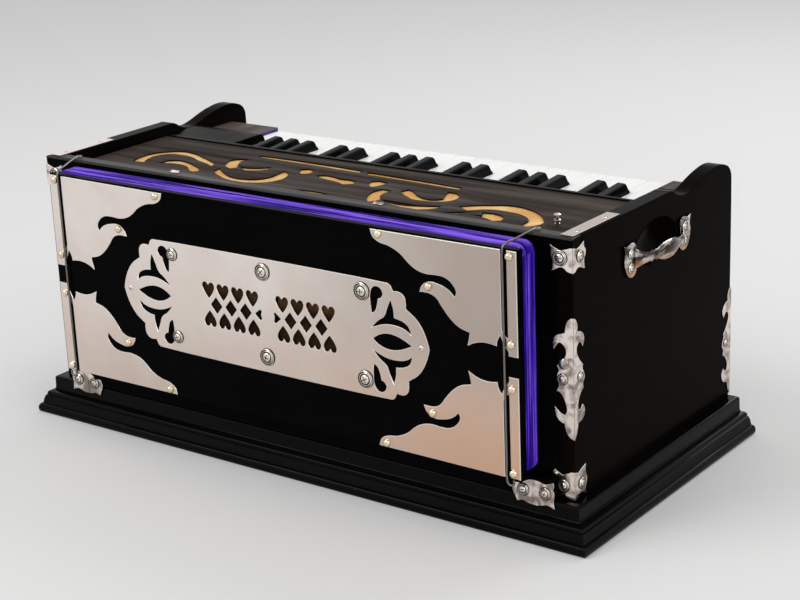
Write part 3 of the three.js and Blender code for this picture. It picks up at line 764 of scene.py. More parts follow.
@dataclass(frozen=True)
class PlatedMetal:
    """Polished plating over thin sheet or castings.

    painted_reflection_share is how far it turns to a painted dark reflection, and lower down to a
    painted warm reflection, towards the bass end. painted_belly_reflection is how much painted
    warm reflection a handle's grip has on its underside.
    """

    name: str
    cool: Colour
    warm: Colour
    polish: float = 0.13
    lines: Colour = (900.0, 900.0, 14.0)
    smudge_and_reflection_scale: Colour = (26.0, 26.0, 26.0)
    contrast: float = 0.25
    spread: float = 0.2
    painted_reflection_share: float = 0.0
    painted_belly_reflection: float = 0.0
    painted_dark_reflection: Colour = (0.34, 0.265, 0.22)
    painted_warm_reflection: Colour = (0.74, 0.43, 0.27)
    ripple: float = 0.05
    scratch: float = 0.02

    def make(self) -> Material:
        """Makes the material: buffing lines, dirty patches and painted reflections, and the
        sheet's ripple.
        """
        recipe = Recipe(self.name)
        smudges_and_reflections = recipe.grain(self.smudge_and_reflection_scale, 6, 0.8)
        buffed = recipe.grain(self.lines, 2)
        swell = recipe.grain((17, 17, 17), 1)
        level = recipe.axis("Z")
        # Random patches between the two tones: dirty patches on the plain plating, painted
        # reflections where the contrast is high and the second tone near black.
        share = recipe.span(smudges_and_reflections, 0, self.contrast, 0.5 - self.spread, 0.5 + self.spread)
        # Painted warm reflection, stronger lower down.
        if self.painted_reflection_share:
            share = recipe.sum(share, recipe.span(level, self.painted_reflection_share * 0.55, 0, 0.07, 0.2))
        colour = recipe.blend(share, self.cool, self.warm)
        # Painted reflections towards the bass end: dark up high, warm lower down.
        if self.painted_reflection_share:
            bass = recipe.span(recipe.axis("X"), 0, self.painted_reflection_share, 0.0, 0.2)
            for start, end, painted_tone in ((0, 1, self.painted_dark_reflection), (1, 0, self.painted_warm_reflection)):
                part = recipe.times(bass, recipe.span(level, start, end, 0.08, 0.16))
                colour = recipe.blend(part, colour, painted_tone)
        # Painted warm reflection on the underside of a handle's grip.
        if self.painted_belly_reflection:
            under = recipe.span(level, self.painted_belly_reflection, 0, 0.207, 0.213)
            colour = recipe.blend(under, colour, self.painted_warm_reflection)
        rough = recipe.sum(recipe.span(smudges_and_reflections, self.polish, self.polish + 0.07),
                           recipe.span(buffed, 0, 0.05))
        height = recipe.sum(recipe.span(swell, 0, self.ripple, 0, 1),
                            recipe.span(buffed, 0, self.scratch * 0.05, 0, 1))
        recipe.relief(height, 1.0)
        return recipe.wear(colour, rough, Metallic=1.0)


@dataclass(frozen=True)
class WovenCloth:
    """Woven cloth laid flat or stretched."""

    name: str
    thread: Colour
    gap: Colour
    glint: Colour
    pitch: float = 0.0009
    axes: tuple[str, str] = ("X", "Y")
    roughness: float = 0.65
    metallic: float = 0.0
    gleam: float = 0.4
    relief: float = 0.15
    painted_shade_below: float = 0.0

    def make(self) -> Material:
        """Makes the material: warp and weft with uneven, glinting threads, and painted shade below
        a height where one is given.
        """
        recipe = Recipe(self.name)
        warp = recipe.threads(self.pitch, self.axes[0])
        weft = recipe.threads(self.pitch, self.axes[1])
        weave = recipe.times(warp, weft)
        speck = recipe.grain((1500, 1500, 1500), 2)
        shade = recipe.grain((30, 30, 30), 4)
        base = recipe.ramp(weave, ((0.05, self.gap), (0.45, self.thread)))
        lit = recipe.blend(recipe.span(recipe.sum(speck, shade), 0, 0.75, 0.95, 1.25), base,
                           self.glint)
        # Painted shade: below a height the cloth turns to the dark gap colour.
        if self.painted_shade_below:
            painted_shade = recipe.span(recipe.axis("Z"), 0.85, 0, self.painted_shade_below,
                               self.painted_shade_below + 0.008)
            lit = recipe.blend(painted_shade, lit, self.gap)
        rough = recipe.span(weave, self.roughness + 0.12, self.roughness - 0.08, 0, 1)
        recipe.relief(weave, self.relief)
        return recipe.wear(lit, rough, Metallic=self.metallic, Specular_IOR_Level=self.gleam)


@dataclass(frozen=True)
class FoldedCloth:
    """Cloth of a bellows, streaked along its folds, with painted light on its top band."""

    name: str
    shadow: Colour
    body: Colour
    light: Colour
    sheen: float = 0.25
    gleam: float = 0.4
    painted_top_light: float = 0.0
    painted_top_from: float = 0.2440

    def make(self) -> Material:
        """Makes the material on the cloth's own map: along the fold, then over it."""
        recipe = Recipe(self.name, uv=True)
        streaks = recipe.grain((16, 900, 1), 4, 0.3)
        folds = recipe.grain((7, 300, 1), 3)
        weave = recipe.grain((2200, 2200, 1), 1)
        mixed = recipe.sum(recipe.span(streaks, 0, 0.35), recipe.span(folds, 0, 0.55, 0.38, 0.62),
                           recipe.span(weave, 0, 0.1))
        colour = recipe.ramp(mixed, ((0.2, self.shadow), (0.66, self.body), (1.0, self.light)))
        # Painted light: above a height, the top of the bellows is lightened towards the light
        # colour along the folds.
        if self.painted_top_light:
            whole = recipe.add("ShaderNodeTexCoord").outputs["Object"]
            height = recipe.add("ShaderNodeSeparateXYZ", {"Vector": whole}).outputs["Z"]
            top = recipe.times(recipe.span(height, 0, 1, self.painted_top_from, self.painted_top_from + 0.0025),
                               recipe.span(folds, 0, 2 * self.painted_top_light, 0.42, 0.62))
            colour = recipe.blend(top, colour, self.light)
        rough = recipe.span(mixed, 0.62, 0.4, 0.1, 0.9)
        recipe.relief(mixed, 0.25)
        return recipe.wear(colour, rough, Sheen_Weight=self.sheen, Specular_IOR_Level=self.gleam)


@dataclass(frozen=True)
class Felt:
    """Pressed felt of pads and strips."""

    name: str
    deep: Colour
    pale: Colour

    def make(self) -> Material:
        """Makes the material: matted fibres."""
        recipe = Recipe(self.name)
        mat = recipe.grain((700, 700, 700), 6, 1.2)
        colour = recipe.ramp(mat, ((0.3, self.deep), (0.7, self.pale)))
        recipe.relief(mat, 0.3)
        return recipe.wear(colour, recipe.span(mat, 0.98, 0.85), Sheen_Weight=0.3)


@dataclass(frozen=True)
class KeyPlastic:
    """Moulded covers of the white keys."""

    name: str = "ivory_white"
    clean: Colour = (0.90, 0.898, 0.885)
    handled: Colour = (0.85, 0.84, 0.815)

    def make(self) -> Material:
        """Makes the material: handled patches in a random cloud, with faint polish marks."""
        recipe = Recipe(self.name)
        cloud = recipe.grain((45, 18, 45), 4, 0.5)
        marks = recipe.grain((900, 60, 900), 2)
        colour = recipe.blend(recipe.span(cloud, 0, 1, 0.35, 0.75), self.clean, self.handled)
        rough = recipe.sum(recipe.span(cloud, 0.2, 0.3), recipe.span(marks, 0, 0.06))
        recipe.relief(marks, 0.01)
        return recipe.wear(colour, rough, Specular_IOR_Level=0.45)


class Finishes:
    """Every finish of the harmonium, made once."""

    def __init__(self) -> None:
        """Makes the materials."""
        self.lacquer = Lacquer().make()
        self.side_lacquer = Lacquer(
            name="black_lacquer_side", deep=(0.0018, 0.0012, 0.0008),
            pale=(0.0036, 0.0023, 0.0016), gleam=0.008, grain=(260.0, 4.0, 260.0)).make()
        self.moulding = Lacquer(name="moulding_lacquer", gloss=0.1, gleam=0.06).make()
        self.key_black = Lacquer(
            name="key_black", deep=(0.0025, 0.0025, 0.003), pale=(0.006, 0.006, 0.0065),
            gloss=0.12, gleam=0.03, grain=(300.0, 20.0, 300.0), relief=0.01).make()
        self.grey_wood = StainedWood(
            "grey_wood", (0.016, 0.0108, 0.0084), (0.030, 0.0212, 0.0172), (0.051, 0.0368, 0.0302),
            gleam=0.03).make()
        self.rail_wood = StainedWood(
            "rail_wood", (0.030, 0.026, 0.025), (0.050, 0.045, 0.043), (0.078, 0.070, 0.067),
            along=(5.0, 60.0, 60.0), roughness=0.38, gleam=0.12, relief=0.05).make()
        self.brown_wood = StainedWood(
            "brown_wood", (0.030, 0.018, 0.014), (0.062, 0.042, 0.034), (0.105, 0.076, 0.062),
            along=(60.0, 4.0, 60.0), pores=(900.0, 24.0, 900.0), gleam=0.15).make()
        self.pale_wood = StainedWood(
            "pale_wood", (0.30, 0.165, 0.070), (0.43, 0.26, 0.125), (0.54, 0.36, 0.19),
            along=(70.0, 3.0, 70.0), pores=(900.0, 20.0, 900.0), roughness=0.62).make()
        # Nickel with painted reflections towards the bass end and low down.
        self.nickel = PlatedMetal(
            "nickel", (0.80, 0.735, 0.70), (0.62, 0.46, 0.365), painted_reflection_share=0.7).make()
        # Trim with high-contrast patches, near black, that paint reflections.
        self.trim = PlatedMetal(
            "trim_nickel", (0.84, 0.745, 0.69), (0.19, 0.140, 0.115), smudge_and_reflection_scale=(85.0, 85.0, 85.0),
            contrast=0.85, spread=0.09).make()
        self.brass = PlatedMetal(
            "tack_plating", (0.92, 0.82, 0.64), (0.55, 0.42, 0.26), polish=0.1, ripple=0.0,
            contrast=0.8).make()
        # Lighter, glossier lacquer for the cheeks' front and rear edges: a painted highlight.
        self.edge = Lacquer(
            name="edge_highlight_lacquer", deep=(0.020, 0.017, 0.015), pale=(0.050, 0.043, 0.038), gleam=0.3,
            grain=(260.0, 260.0, 260.0)).make()
        self.bright = PlatedMetal(
            "bright_nickel", (0.86, 0.82, 0.76), (0.66, 0.58, 0.48), polish=0.1, ripple=0.0,
            contrast=0.7).make()
        # Dark plating for the grooves, skirts and crosses of the screws: painted shade.
        self.ring_shade = PlatedMetal(
            "ring_shade_nickel", (0.10, 0.085, 0.075), (0.045, 0.036, 0.03), polish=0.35,
            ripple=0.0, contrast=1.0).make()
        # Chrome with near-black patches that paint reflections, and a painted warm reflection
        # under the grip.
        self.chrome = PlatedMetal(
            "chrome", (0.58, 0.55, 0.53), (0.050, 0.038, 0.032), polish=0.05, ripple=0.03,
            smudge_and_reflection_scale=(45.0, 60.0, 130.0), contrast=1.0, spread=0.07, painted_belly_reflection=0.75,
            painted_warm_reflection=(0.52, 0.25, 0.12)).make()
        self.steel = PlatedMetal(
            "wire_steel", (0.20, 0.185, 0.175), (0.08, 0.072, 0.066), polish=0.14,
            ripple=0.0).make()
        # Brighter plating for the cut edges of the plates: a painted highlight.
        self.rim_highlight = PlatedMetal(
            "plate_rim_highlight", (0.92, 0.88, 0.84), (0.70, 0.60, 0.50), polish=0.2, ripple=0.0,
            contrast=0.6).make()
        # Violet cloth, its top band lightened with painted light.
        self.violet = FoldedCloth(
            "violet_cloth", (0.008, 0.0005, 0.11), (0.040, 0.004, 0.46), (0.34, 0.16, 1.0),
            sheen=0.02, gleam=0.1, painted_top_light=0.36).make()
        self.dark_cloth = FoldedCloth(
            "dark_cloth", (0.008, 0.006, 0.012), (0.022, 0.016, 0.032), (0.05, 0.04, 0.07),
            sheen=0.1).make()
        self.gold = WovenCloth(
            "gold_cloth", (0.86, 0.44, 0.09), (0.50, 0.21, 0.03), (1.0, 0.74, 0.34), pitch=0.0011,
            roughness=0.45, metallic=0.15).make()
        # Near-black wood for the walls of the lid's cuts: burnt edges, and painted shade inside
        # the cuts.
        self.burnt_wall_and_shade = StainedWood(
            "burnt_wall_and_shade", (0.004, 0.003, 0.0025), (0.007, 0.005, 0.004), (0.012, 0.008, 0.006),
            gleam=0.05).make()
        # Grille cloth, darkened below a height with painted shade.
        self.mesh = WovenCloth(
            "grille_cloth", (0.058, 0.025, 0.010), (0.008, 0.004, 0.002), (0.20, 0.105, 0.048),
            pitch=0.0016, axes=("X", "Z"), roughness=0.7, gleam=0.04, painted_shade_below=0.158).make()
        self.felt = Felt("violet_felt", (0.022, 0.006, 0.13), (0.055, 0.018, 0.27)).make()
        self.pad = Felt("pad_felt", (0.30, 0.27, 0.22), (0.52, 0.48, 0.41)).make()
        self.ivory = KeyPlastic().make()


def paint(piece: Piece, material: Material) -> Piece:
    """Gives a part of a piece its finish."""
    piece.data.materials.clear()
    piece.data.materials.append(material)
    return piece


def polish(part: Piece, angle: float, material: Material) -> Piece:
    """Shades a part smooth below an angle and gives it its finish."""
    smooth(part, angle, weighted=False)
    return paint(part, material)


def hang(piece: Piece, slot: str, body: str) -> Piece:
    """Attaches a piece to the CAD body that it moves with."""
    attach(piece, body)
    return piece


def dress(piece: Piece, material: Material, slot: str, body: str) -> Piece:
    """Gives a piece one finish and attaches it to its CAD body."""
    return hang(paint(piece, material), slot, body)


def plated(piece: Piece, main: Material, rim_highlight: Material) -> Piece:
    """Plates a leaf that faces the front or a side, with a brighter second finish on its cut edges
    as a painted highlight.

    Args:
        piece: The leaf.
        main: The finish of its face.
        rim_highlight: The brighter finish of its edges, a painted highlight.

    Returns:
        The same leaf.
    """
    polish(piece, 22, main).data.materials.append(rim_highlight)
    # The cut edges take the brighter finish, a painted highlight.
    for face in piece.data.polygons:
        if max(abs(face.normal.x), abs(face.normal.y)) < 0.93:
            face.material_index = 1
    return piece


@dataclass
class Fasteners:
    """Screws and tacks, modelled once and copied. Their profiles are (radius, height) pairs."""

    finishes: Finishes
    washer: Ring = (
        (5.2, 0), (5.2, 0.2), (4.95, 0.75), (4.6, 1), (4.25, 0.8), (4, 0.62), (3.7, 0.95),
        (3.45, 0.95), (3.2, 0.6), (2.95, 0.4))
    cup_head: Ring = ((2.7, 0.1), (2.7, 0.9), (2.5, 1.25), (1.9, 1.55), (1, 1.75), (0.3, 1.8))
    sunk_head: Ring = (
        (2.6, 0), (2.6, 0.35), (2.35, 0.75), (1.7, 1.05), (0.9, 1.2), (0.3, 1.25))
    dome: Ring = (
        (2.4, 0), (2.45, 0.3), (2.3, 0.9), (1.9, 1.45), (1.3, 1.85), (0.7, 2.05), (0.25, 2.1))
    slot_width: float = 0.55

    def __post_init__(self) -> None:
        """Models the three masters at the origin, in drawing millimetres."""
        still = Matrix.Identity(4)
        washer = turned("washer_master", self.washer, still, 28)
        head = turned("head_master", self.cup_head, still, 20)
        self.cut_cross(head, 1.9, 1.15)
        self.cup = join("cup_screw_master", [washer, head])
        self.screw = turned("screw_master", self.sunk_head, still, 20)
        self.cut_cross(self.screw, 1.7, 0.7)
        self.tack = turned("tack_master", self.dome, still, 18)
        for master, finish in ((self.cup, self.finishes.bright),
                               (self.screw, self.finishes.bright),
                               (self.tack, self.finishes.brass)):
            polish(master, 40, finish)
        # Painted shade: the washer's two grooves, its outer skirt and the driver's cross take the
        # dark plating.
        self.darken(self.cup, (2.75, 3.4), 0.93, 1.3)
        self.darken(self.cup, (3.85, 4.4), 0.93, 0.0)
        self.darken(self.cup, (4.98, 5.3), 0.9, 0.0)
        self.darken(self.screw, (0.0, 0.0), 0.0, 0.8)

    def darken(self, master: Piece, groove: Point, level: float, floor: float) -> None:
        """Gives the groove round a head and the driver's cross a dark plating, as painted shade.

        Args:
            master: The fastener.
            groove: The groove's inner and outer radius, in drawing millimetres.
            level: The height below which the groove's faces lie.
            floor: The height below which the cross's faces lie.
        """
        if len(master.data.materials) < 2:
            master.data.materials.append(self.finishes.ring_shade)
        for face in master.data.polygons:
            out = math.hypot(face.center.x, face.center.y)
            sunk = groove[0] < out < groove[1] and face.center.z < level
            if sunk or (out < 1.7 and 0.2 < face.center.z < floor):
                face.material_index = 1

    def cut_cross(self, head: Piece, reach: float, floor: float) -> None:
        """Cuts the driver's cross into a head, in drawing millimetres."""
        for size in ((2 * reach, self.slot_width, 2), (self.slot_width, 2 * reach, 2)):
            clear()
            bpy.ops.mesh.primitive_cube_add(size=1, location=(0, 0, floor + 1))
            bpy.context.object.scale = size
            hollow(head, settle(bpy.context.object, "driver_cross"))

    def put(self, master: Piece, at: Sequence[float], facing: Facing, size: float = 1.0,
            turn: float = 0.0) -> Piece:
        """Puts a copy of a master on a surface.

        Args:
            master: Which fastener.
            at: Its place in millimetres.
            facing: Which way its head looks.
            size: Its scale.
            turn: How far it is turned about its own axis, in degrees.

        Returns:
            The copy.
        """
        spin = Matrix.Rotation(math.radians(turn), 4, "Z")
        return twin(master, "fastener", facing.place(at) @ Matrix.Scale(size, 4) @ spin)

    def put_away(self) -> None:
        """Removes the masters."""
        for master in (self.cup, self.screw, self.tack):
            bpy.data.objects.remove(master)


# Cabinet


@dataclass
class Plinth:
    """Moulded skirting with a round bead at its foot, and the base board in it."""

    finishes: Finishes
    half_length: float = 286.0
    depth: float = 267.0
    overhang: float = 22.6
    rear_overhang: float = 10.6
    profile: Ring = (
        (20.4, 0), (21.7, 0.5), (22.4, 1.8), (22.6, 3.6), (22.4, 5.5), (21.7, 7.2), (20.5, 8.4),
        (19, 8.7), (19, 9.6), (18.6, 10.4), (18.3, 12.6), (17.3, 15.2), (16.6, 16.6), (15.6, 17),
        (15.6, 17.9), (15.4, 19.3), (14.4, 20.3), (13, 21), (11.4, 21.3), (10, 21.4), (10, 22.4),
        (9.5, 22.9), (9.3, 26), (9.2, 32.8), (9, 34), (8.4, 34.9), (7.4, 35.4), (6.4, 35.5),
        (0.2, 35.5), (0.2, 12))

    def build(self) -> list[Piece]:
        """Draws the skirting up through its profile.

        Returns:
            The plinth's piece.
        """
        rear = self.rear_overhang / self.overhang
        rings = [(-self.half_length - out, self.half_length + out, -out, self.depth + out * rear,
                  height) for out, height in self.profile]
        piece = drawn_up("plinth_moulding", rings)
        smooth(piece, 40)
        dress(piece, self.finishes.moulding, "black_lacquer", "cabinet")
        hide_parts("plinth")
        return [piece]


@dataclass
class Cheeks:
    """Side boards with the dip and the horn at the keyboard end, and the finger recess.

    bevel_reach is how near to the front and rear a face belongs to the edge with a painted
    highlight, and bevel_lean how far it may face sideways.
    """

    finishes: Finishes
    inner: float = 271.0
    outer: float = 286.0
    depth: float = 267.0
    top: float = 253.5
    foot: float = 12.3
    rail_seat: Point = (13.3, 242.2)
    level_to: float = 60.0
    bevel_reach: float = 1.8
    bevel_lean: Point = (0.35, 0.94)
    recess_centre: Point = (131.5, 218.0)
    recess_half: Point = (34.5, 19.0)
    recess_depth: float = 6.0
    cutter_lift: float = 0.6
    horn: Ring = (
        (150, 253.5), (157, 253.5), (160.3, 252.6), (168, 248.3), (175.2, 245.6), (184, 244.7),
        (193.3, 246.1), (210.9, 251.2), (226.3, 254.6), (242.8, 256), (254.4, 253.9), (262.1, 250),
        (265.9, 244.7), (267, 239.4))

    def build(self) -> list[Piece]:
        """Cuts the bass cheek out, dishes its recess and mirrors it.

        Returns:
            Both cheeks.
        """
        seat_y, seat_z = self.rail_seat
        outline = [(0, self.foot), (self.depth, self.foot), *reversed(self.horn),
                   (self.level_to, self.top), (seat_y, self.top), self.rail_seat, (0, seat_z)]
        right = flat_piece("bass_cheek", outline, Facing.RIGHT, self.inner, self.outer, edge=0.9,
                           corner=40, rounds=2)
        clear()
        bpy.ops.mesh.primitive_uv_sphere_add(
            segments=48, ring_count=24, radius=0.001,
            location=spot(self.outer + self.cutter_lift, *self.recess_centre))
        bpy.context.object.scale = (self.recess_depth + self.cutter_lift, *self.recess_half)
        hollow(right, settle(bpy.context.object, "recess_cutter"))
        smooth(right, 30)
        left = twin(right, "treble_cheek", across(0))
        for piece, node in ((right, "right_cheek"), (left, "left_cheek")):
            dress(piece, self.finishes.side_lacquer, "black_lacquer", "cabinet")
            # The bevelled faces at the front and rear edges get the lighter lacquer as a painted
            # highlight.
            piece.data.materials.append(self.finishes.edge)
            for face in piece.data.polygons:
                near = abs(abs(face.center.y) * 1000 - self.depth / 2) < self.bevel_reach
                if near and self.bevel_lean[0] < abs(face.normal.x) < self.bevel_lean[1]:
                    face.material_index = 1
            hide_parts(node)
        return [right, left]


@dataclass
class FrontBoard:
    """Board behind the bellows, the rail over it and the ledge under the bellows.

    stained is the height of the rail's bare wood, above its lacquer.
    """

    finishes: Finishes
    half: float = 270.7
    low: float = 12.3
    high: float = 242.2
    thickness: float = 12.0
    rail_half: float = 286.0
    rail_depth: float = 13.0
    rail_low: float = 242.5
    rail_top: float = 253.5
    ledge_depth: float = 10.0
    ledge_low: float = 35.8
    ledge_top: float = 54.0
    port_radius: float = 22.0
    port_spread: float = 130.0
    port_height: float = 151.5
    stained: float = 4.2
    rounding: float = 1.4

    def build(self) -> list[Piece]:
        """Makes the board with its two air ports, the rail and the ledge.

        Returns:
            The three pieces.
        """
        ports = [circle(side * self.port_spread, self.port_height, self.port_radius, 16)
                 for side in (-1, 1)]
        board = flat_piece("front_panel", rectangle(-self.half, self.half, self.low, self.high),
                           Facing.FRONT, -self.thickness, 0, ports, edge=0.6)
        rail = block("top_rail", (-self.rail_half, 0, self.rail_low),
                     (self.rail_half, self.rail_depth, self.rail_top), 0.5)
        self.round_front(rail)
        ledge = block("foot_ledge", (-self.half, -self.ledge_depth, self.ledge_low),
                      (self.half, 0.3, self.ledge_top), 1.4, 3)
        for piece in (board, rail, ledge):
            smooth(piece, 40)
        for piece in (board, ledge):
            dress(piece, self.finishes.lacquer, "black_lacquer", "cabinet")
        dress(rail, self.finishes.rail_wood, "grey_wood", "cabinet")
        rail.data.materials.append(self.finishes.lacquer)
        level = (self.rail_top - self.stained) / 1000
        for face in rail.data.polygons:
            face.material_index = 1 if face.center.z < level else 0
        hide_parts("front_board")
        return [board, rail, ledge]

    def round_front(self, rail: Piece) -> None:
        """Rounds the rail's upper front edge over."""
        take(rail)
        bpy.ops.object.mode_set(mode="EDIT")
        bpy.ops.mesh.select_all(action="DESELECT")
        bpy.ops.object.mode_set(mode="OBJECT")
        front, top, reach = *spot(0, 0, self.rail_top)[1:], 6e-4
        for edge in rail.data.edges:
            ends = [rail.data.vertices[k].co for k in edge.vertices]
            near = all(abs(e.y - front) < reach and abs(e.z - top) < reach for e in ends)
            edge.select = near and abs(ends[0].x - ends[1].x) > 0.1
        bpy.ops.object.mode_set(mode="EDIT")
        bpy.ops.mesh.bevel(offset=self.rounding / 1000, segments=3)
        bpy.ops.object.mode_set(mode="OBJECT")


# Bellows


@dataclass
class CornerPlates:
    """Four nickel plates with a scrolled inner edge and a slit under the latch wire."""

    finishes: Finishes
    fasteners: Fasteners
    outer: float = 253.5
    upper: float = 246.0
    middle: float = 151.5
    back: float = 27.35
    face: float = 28.75
    outline: Ring = (
        (14.5, 0), (139.5, 0.6), (137.4, 6.6), (131.6, 10.6), (120.4, 12.9), (109.9, 17.8),
        (101.5, 24.8), (94.5, 28.7), (85.4, 30.6), (74.8, 30.2), (66.5, 31.2), (60, 35.6),
        (56.8, 41.6), (58.2, 45.4), (63.6, 40.6), (73.4, 37), (83.2, 36.6), (89.8, 40.8),
        (92.4, 46.4), (87, 46.2), (81.2, 46.8), (76, 49.4), (71, 55.6), (63.6, 64), (55.2, 70),
        (44.9, 72.9), (45.5, 76.6), (47.4, 84.2), (39.6, 80.4), (30, 78.6), (19.6, 79.6),
        (19, 75.6), (16.2, 70.2), (12, 78.6), (9.2, 82.6), (9.2, 86), (0, 86), (0, 0), (9.2, 0),
        (9.2, 60), (9.2, 71.5), (13.8, 67), (14.5, 62.5), (14.5, 58))
    tacks: Ring = ((6.4, 4.6), (6.2, 76), (131.4, 4.2), (83.4, 40.6))
    tack_size: float = 1.45

    def build(self) -> list[Piece]:
        """Cuts one plate, mirrors it into the four corners and tacks them down.

        Returns:
            The four plates with their tacks.
        """
        outline = set_out(self.outline, self.outer, self.upper, -1, -1)
        plate = flat_piece("upper_bass_plate", outline, Facing.FRONT, self.back, self.face,
                           edge=0.5, steps=6, corner=55)
        plated(plate, self.finishes.nickel, self.finishes.rim_highlight)
        tacks = [self.fasteners.put(self.fasteners.tack, (x, -self.face, z), Facing.FRONT,
                                    self.tack_size)
                 for x, z in set_out(self.tacks, self.outer, self.upper, -1, -1)]
        corner = join("upper_bass_plate", [plate, *tacks])
        down = across(2, self.middle)
        pieces = [corner, twin(corner, "upper_treble_plate", across(0)),
                  twin(corner, "lower_bass_plate", down),
                  twin(corner, "lower_treble_plate", across(0) @ down)]
        nodes = ("upper_right_plate", "upper_left_plate", "lower_right_plate", "lower_left_plate")
        for piece, node in zip(pieces, nodes):
            hang(piece, "nickel", "bellows")
            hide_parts(node)
        return pieces


@dataclass
class CentrePlate:
    """Nickel plate with lotus ends and a grille of hearts and diamonds.

    The shares are of a lobe's length and half the plate's height, or of a heart's size.
    cup_columns gives each column of screws its x and size, cup_rows their heights.
    """

    finishes: Finishes
    fasteners: Fasteners
    half: float = 129.0
    half_height: float = 50.5
    middle: float = 151.5
    lobe: float = 40.0
    back: float = 27.35
    face: float = 28.75
    heart: Point = (14.0, 14.6)
    heart_pitch: float = 16.7
    heart_start: float = 16.5
    heart_row: float = 13.0
    columns: int = 4
    diamond: Point = (13.2, 15.4)
    bow: Ring = (
        (6.2, 0), (2.6, 3), (0.2, 4.8), (-1.6, 3.4), (-0.6, 0), (-1.6, -3.4), (0.2, -4.8),
        (2.6, -3))
    cup_columns: tuple[Point, ...] = ((-107, 1.2), (-3, 1.55), (103, 1.55))
    cup_rows: Point = (190.9, 114.3)
    end_screw: float = 161.0
    lobe_shares: Ring = (
        (0, 1), (0.07, 0.975), (0.12, 0.91), (0.145, 0.875), (0.22, 0.885), (0.33, 0.875),
        (0.42, 0.82), (0.455, 0.73), (0.45, 0.615), (0.53, 0.575), (0.66, 0.505), (0.8, 0.385),
        (0.92, 0.21), (0.985, 0.06), (1, 0))
    eye_shares: Ring = (
        (-0.42, 0), (-0.25, 0.085), (-0.04, 0.13), (0.2, 0.115), (0.4, 0.06), (0.56, 0),
        (0.4, -0.06), (0.2, -0.115), (-0.04, -0.13), (-0.25, -0.085))
    leaf_shares: Ring = (
        (-0.42, 0.2), (-0.12, 0.285), (0.18, 0.3), (0.42, 0.26), (0.56, 0.19), (0.5, 0.31),
        (0.36, 0.385), (0.14, 0.42), (0.13, 0.56), (0.07, 0.72), (-0.02, 0.56), (-0.1, 0.42),
        (-0.27, 0.32))
    comma_shares: Ring = (
        (-0.42, 0.44), (-0.44, 0.62), (-0.43, 0.78), (-0.37, 0.875), (-0.26, 0.905),
        (-0.16, 0.865), (-0.12, 0.79), (-0.17, 0.73), (-0.25, 0.7), (-0.28, 0.59), (-0.34, 0.48))
    heart_shares: Ring = (
        (0, -0.5), (0.24, -0.24), (0.44, 0.06), (0.49, 0.28), (0.4, 0.46), (0.24, 0.5),
        (0.09, 0.42), (0, 0.29), (-0.09, 0.42), (-0.24, 0.5), (-0.4, 0.46), (-0.49, 0.28),
        (-0.44, 0.06), (-0.24, -0.24))

    def outline(self) -> list[Point]:
        """Gives the plate's outline about its own middle."""
        right = [(self.half + self.lobe * out, self.half_height * up)
                 for out, up in self.lobe_shares]
        side = [*right, *[(x, -z) for x, z in reversed(right[:-1])]]
        return [*side, *[(-x, z) for x, z in reversed(side)]]

    def cut_outs(self) -> list[Ring]:
        """Gives the outlines of the lotus ends and of the grille."""
        lotus = ((self.eye_shares, 1), (self.leaf_shares, 1), (self.leaf_shares, -1),
                 (self.comma_shares, 1), (self.comma_shares, -1))
        half = [set_out(shares, self.half, 0, self.lobe, level * self.half_height)
                for shares, level in lotus]
        lozenge = ((0, 0.5), (0.5, 0), (0, -0.5), (-0.5, 0))
        for column in range(self.columns):
            x = self.heart_start + column * self.heart_pitch
            half += [set_out(self.heart_shares, x, level * self.heart_row, self.heart[0],
                             level * self.heart[1]) for level in (1, -1)]
            if column < self.columns - 1:
                half.append(set_out(lozenge, x + self.heart_pitch / 2, 0, *self.diamond))
        half.append(set_out(self.bow, self.heart_start - self.heart_pitch / 2, 0))
        return [set_out(ring, 0, 0, flip) for flip in (-1, 1) for ring in half]

    def build(self) -> list[Piece]:
        """Cuts the plate and screws it down.

        Returns:
            The plate with its screws.
        """
        outline, *holes = [set_out(ring, 0, self.middle)
                           for ring in (self.outline(), *self.cut_outs())]
        plate = flat_piece("grille_plate", outline, Facing.FRONT, self.back, self.face, holes,
                           edge=0.5)
        parts = [plated(plate, self.finishes.nickel, self.finishes.rim_highlight)]
        put, cup, screw = self.fasteners.put, self.fasteners.cup, self.fasteners.screw
        cups = [(x, size, z) for x, size in self.cup_columns for z in self.cup_rows]
        for k, (x, size, z) in enumerate(cups):
            parts.append(put(cup, (x, -self.face, z), Facing.FRONT, size, 23 * k))
        for k, x in enumerate((-self.end_screw, self.end_screw)):
            parts.append(put(screw, (x, -self.face, self.middle), Facing.FRONT, 0.9, 40 * k))
        piece = hang(join("grille_plate", parts), "nickel", "bellows")
        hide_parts("centre_plate")
        return [piece]


